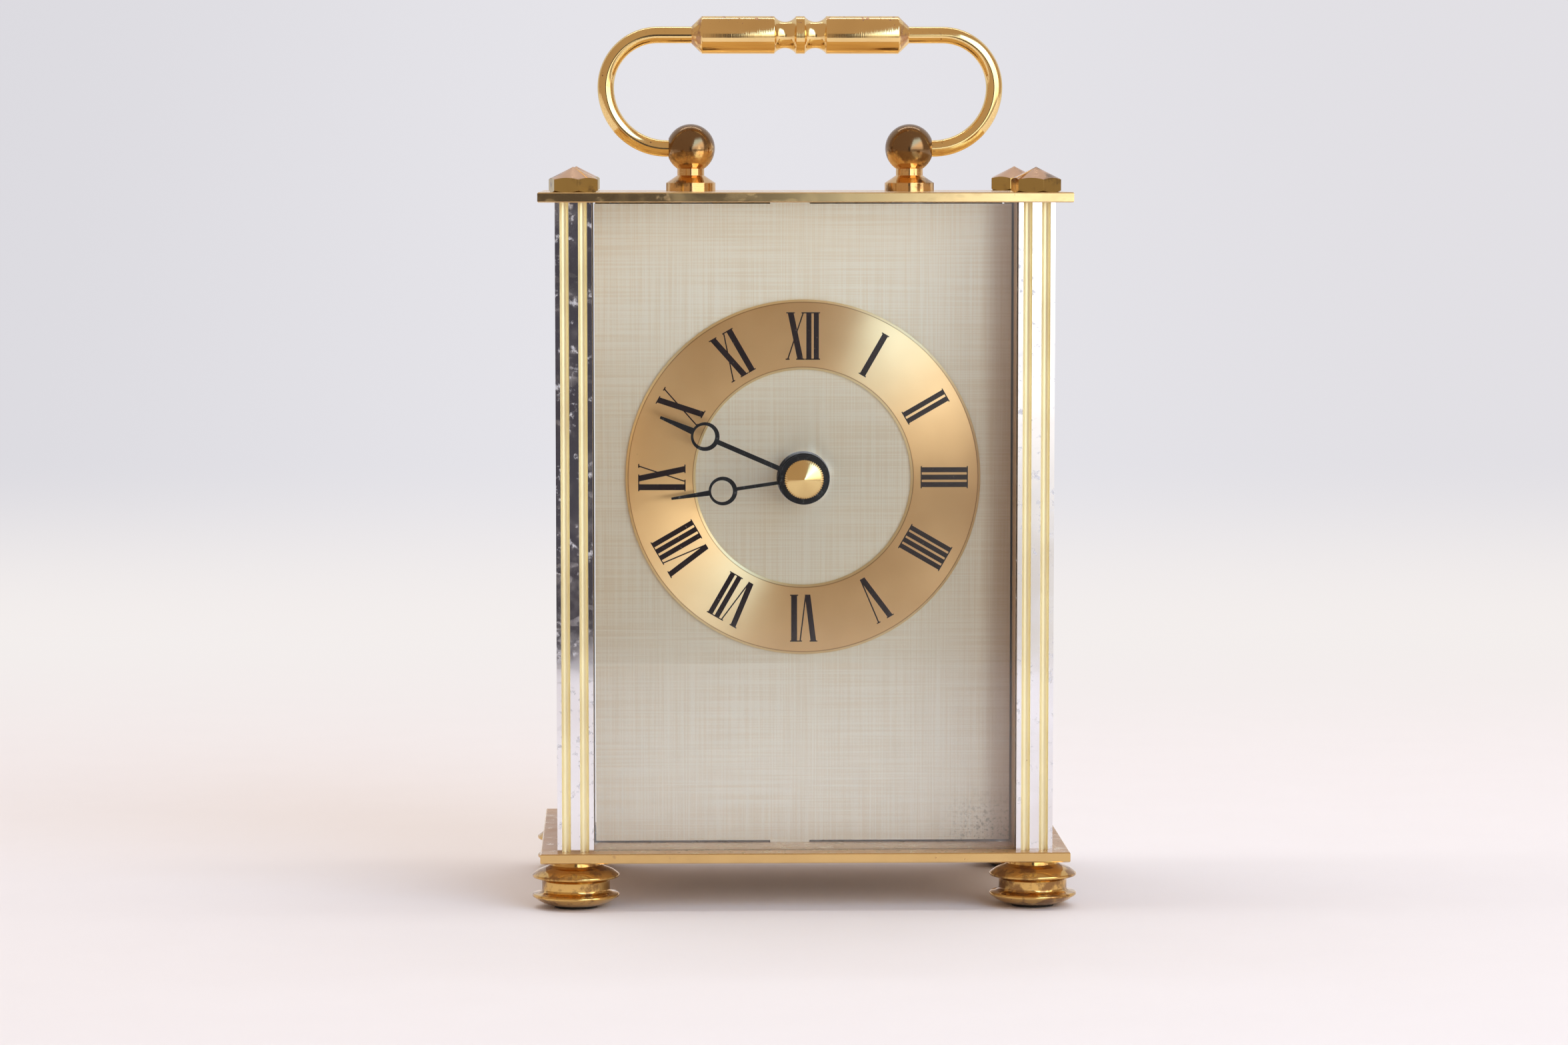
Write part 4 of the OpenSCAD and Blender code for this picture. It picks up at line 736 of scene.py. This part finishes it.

# ---- Finials ----
# Hexagonal brass nuts coned on a lathe, which close the four rods above the top plate. Their
# flats are brown, and their cones are lighter and pinker where they face up.
hex_r, hex_h, cone_up, chamfer, finial_bore, near_tip = 3.845, 1.9, 1.9, 0.25, 2.32, 0.985
material = metal("finial_bronze", (0.56, 0.42, 0.17), (0.15, 0.095, 0.05), amount=0.46, patch=3.4,
                 specks=0.2, worn=0.7, gloss=(0.08, 0.17), dull=0.1, scuffed=0.05,
                 pattern=lathe_lines(0.15), depth=0.004)
tree, aged = patina_of(material)
coned = rise(tree, upward(tree), 0.25, 0.6)
fill(tree, aged, {"Metal": tint(tree, coned, (0.54, 0.40, 0.15, 1), (0.74, 0.46, 0.28, 1))})
for corner, start in (("front_left", 103), ("front_right", 103), ("rear_left", 77), ("rear_right", 77)):
    low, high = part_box("finial_" + corner)
    turn = np.radians(start) + round_turn(96)
    # A hexagon's radius is its corner radius times cos 30, over the cosine of the angle from
    # the middle of the nearest flat. The cone cuts it off, so the flats end in curves.
    flat = hex_r * math.cos(math.pi / 6) / np.cos((turn - np.radians(start)) % (np.pi / 3) - np.pi / 6)
    foot = np.minimum(flat, hex_r - 2 * chamfer)
    even, share = np.ones_like(flat), np.linspace(0, near_tip, 16)[:, None]
    radius = np.vstack([near_axis * even, rod_bore * even, rod_bore * even, foot, flat, flat * (1 - share)])
    height = np.vstack([finial_bore * even, finial_bore * even, 0 * even, 0 * even, (flat - foot) / 2,
                        hex_h + (hex_r - flat * (1 - share)) / hex_r * cone_up])
    centre = ((low.x + high.x) / 2, (low.y + high.y) / 2, low.z)
    finial = skin("coned_finial_" + corner, turned(radius, height, turn, centre, 2), material, crease=20)
    edges = finial.modifiers.new("edges", "BEVEL")
    edges.width, edges.segments, edges.angle_limit = 0.07 * MM, 2, math.radians(25)
    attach(finial, "clock_frame")
    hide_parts("finial_" + corner)

# ---- Floor and backdrop ----
# A pale sweep of paper: flat and lit under the clock, and glowing a cooler grey behind it. An
# apron of the same paper carries the floor on in front and to both sides.
sheet_half, floor_front, floor_back, bend_r, sheet_top = 1.6, -0.40, 0.42, 0.40, 1.8
apron_half, apron_back = 6, 2
horizon = (0.74, 0.73, 0.765, 1)
material, tree = new_material("paper")
place = xyz(tree)
fibre = noise(tree, spot(tree), 60.0, 3.0)
lay_finish(tree, {"Base Color": tint(tree, fibre, (0.84, 0.795, 0.785, 1), (0.86, 0.815, 0.805, 1)),
                  "Roughness": 0.9, "Specular IOR Level": 0.1})
low_glow = (0.905, 0.862, 0.848, 1)
side = rise(tree, place["X"], -0.35, 0.35)
far_glow = tint(tree, side, (0.715, 0.705, 0.745, 1), (0.765, 0.75, 0.785, 1))
far_glow = tint(tree, rise(tree, maths(tree, "ABSOLUTE", place["X"]), 0.22, 0.0), far_glow,
                (0.79, 0.78, 0.82, 1))
glow = add(tree, "Emission", {"Color": tint(tree, rise(tree, place["Z"], -0.004, 0.034),
                                            low_glow, far_glow)})
near = blend(tree, rise(tree, place["Y"], 0.10, floor_back), tree.nodes["Principled BSDF"], glow)
aside = maths(tree, "POWER", place["X"], 2.0)
ahead = maths(tree, "POWER", maths(tree, "MINIMUM", place["Y"], 0.0), 2.0)
off = maths(tree, "SQRT", maths(tree, "ADD", aside, ahead))
far = blend(tree, maths(tree, "MULTIPLY", rise(tree, off, 0.42, 1.1), seen_first(tree)), near,
            add(tree, "Emission", {"Color": horizon}))
surface(tree, blend(tree, add(tree, "NewGeometry").outputs["Backfacing"], far,
                    add(tree, "BsdfTransparent")))


def spread(name, grid, material):
    """A sheet over a grid of points: each face joins four neighbours in the grid."""
    rows, columns = grid.shape[:2]
    i, j = np.meshgrid(np.arange(rows - 1), np.arange(columns - 1), indexing="ij")
    first = i * columns + j
    faces = np.stack([first, first + 1, first + columns + 1, first + columns], -1)
    return shape(name, grid, faces.reshape(-1, 4).tolist(), material)


line = np.vstack([np.stack([np.linspace(floor_front, floor_back, 26), np.zeros(26)], -1),
                  arc((floor_back, bend_r), bend_r, -88, 0, 30), [(floor_back + bend_r, sheet_top)]])
across = np.linspace(-sheet_half, sheet_half, 9)
grid = np.stack([np.broadcast_to(across, (len(line), 9)), np.repeat(line[:, :1], 9, 1),
                 np.repeat(line[:, 1:], 9, 1)], -1)
sweep = spread("sweep", grid, material)
sweep.data.shade_smooth()
apron_corners = [(-apron_half, -apron_half), (apron_half, -apron_half), (apron_half, floor_front),
                 (-apron_half, floor_front), (-apron_half, apron_back), (-sheet_half, apron_back),
                 (-sheet_half, floor_front), (sheet_half, floor_front), (sheet_half, apron_back),
                 (apron_half, apron_back)]
apron = shape("apron", np.array([(x, y, 0) for x, y in apron_corners]),
              [(0, 1, 2, 3), (3, 6, 5, 4), (7, 2, 9, 8)], material)
apron.visible_glossy = apron.visible_diffuse = False

# ---- Lights ----
# A long lamp overhead, a soft lamp above it, a thin strip behind, and a tall pale card bent
# round the right front, which the metal mirrors; the rest of the room is dim and warm.


def lamp(name, middle, size, watts, colour, aim, mirrored=True):
    """A flat lamp of size metres at middle that faces aim. Metal shows it only if mirrored."""
    light = bpy.data.lights.new(name, "AREA")
    light.shape, light.energy, light.color = "RECTANGLE", watts, colour
    light.size, light.size_y = size
    lit = bpy.data.objects.new(name, light)
    lit.location = middle
    lit.rotation_euler = (Vector(aim) - Vector(middle)).to_track_quat("-Z", "Y").to_euler()
    lit.visible_camera, lit.visible_glossy = False, mirrored
    scene.collection.objects.link(lit)


daylight = (0.97, 1.0, 1.03)
lamp("overhead", (-0.15, 0.0, 1.0), (2.8, 0.12), 3.9, daylight, (-0.15, 0, 0), mirrored=False)
lamp("ceiling", (-0.25, 0.5, 1.6), (4.0, 1.6), 13.0, daylight, (-0.25, 0.5, 0), mirrored=False)
lamp("strip", (0, 0.52, 1.02), (1.1, 0.05), 1.0, (0.95, 1, 1.05), (0, 0, 0.1))
# The card is part of a cylinder of 1 m radius about the clock, between these angles from the
# front, in degrees, and these heights, in metres. Its brightness follows angle and height.
card_left, card_right, card_foot, card_head = -14, 72, -0.4, 1.3
room_colour = (0.50, 0.37, 0.27, 1)
material, tree = new_material("card_light")
place = xyz(tree)
across, height = place["X"], place["Z"]
degrees = maths(tree, "DEGREES", maths(tree, "ARCTAN2", across, maths(tree, "MULTIPLY", place["Y"], -1.0)))
lean = maths(tree, "SUBTRACT", across, maths(tree, "MULTIPLY", height, 0.364))
cut = between(tree, rise(tree, height, 0.11, 0.2), 1.0, rise(tree, lean, 0.02, 0.045))
sides = maths(tree, "MULTIPLY", maths(tree, "MULTIPLY", cut, rise(tree, across, 0.015, 0.115)),
              maths(tree, "MULTIPLY", rise(tree, degrees, 70, 60), rise(tree, height, card_head, 0.7)))
dimmer = between(tree, rise(tree, degrees, 11, 15), 0.48, 0.2)
lit = maths(tree, "MULTIPLY", sides, between(tree, rise(tree, height, -0.03, 0.085), dimmer, 1.0))
beyond = maths(tree, "MAXIMUM", rise(tree, degrees, -4, -9), rise(tree, degrees, 60, 68))
beyond = maths(tree, "MAXIMUM", beyond, rise(tree, height, 0.14, 0.32))
cool = rise(tree, maths(tree, "SUBTRACT", height, maths(tree, "MULTIPLY", across, 0.6)), -0.1, 0.35)
pale = tint(tree, cool, (1.06, 1.0, 0.93, 1), (0.69, 1.10, 1.66, 1))
bright = between(tree, rise(tree, height, 0.02, 0.3), 1.62, 3.1)
pale = add(tree, "VectorMath", {0: pale, 1: bright}, operation="MULTIPLY").outputs[0]
dark = tint(tree, beyond, (0.07, 0.062, 0.072, 1), room_colour)
surface(tree, add(tree, "Emission", {"Color": tint(tree, lit, dark, pale)}))
around, up = np.meshgrid(np.radians(np.linspace(card_left, card_right, 36)),
                         np.linspace(card_foot, card_head, 12), indexing="ij")
card = spread("card", np.stack([np.sin(around), -np.cos(around), up], -1), material)
card.visible_camera = card.visible_shadow = False
world = bpy.data.worlds.new("room")
world.use_nodes = True
tree = world.node_tree
fill(tree, tree.nodes["Background"], {"Color": tint(tree, seen_first(tree), room_colour, horizon),
                                      "Strength": 1.0})
scene.world = world
scene.view_settings.view_transform = "Standard"

# ---- Camera ----
# A long lens level with the handle and a little to the left, tipped slightly down, with the
# frame shifted up to hold the whole clock.
tipped_down, turned_right = 0.09894, 0.02943
lens = bpy.data.cameras.new("camera")
lens.lens, lens.sensor_width, lens.shift_y = 117.86, 36.0, 0.0918
camera = bpy.data.objects.new("camera", lens)
camera.location = (-0.02587, -0.794475, 0.113245)
camera.rotation_euler = (math.pi / 2 - tipped_down, 0, -turned_right)
scene.collection.objects.link(camera)
scene.camera = camera
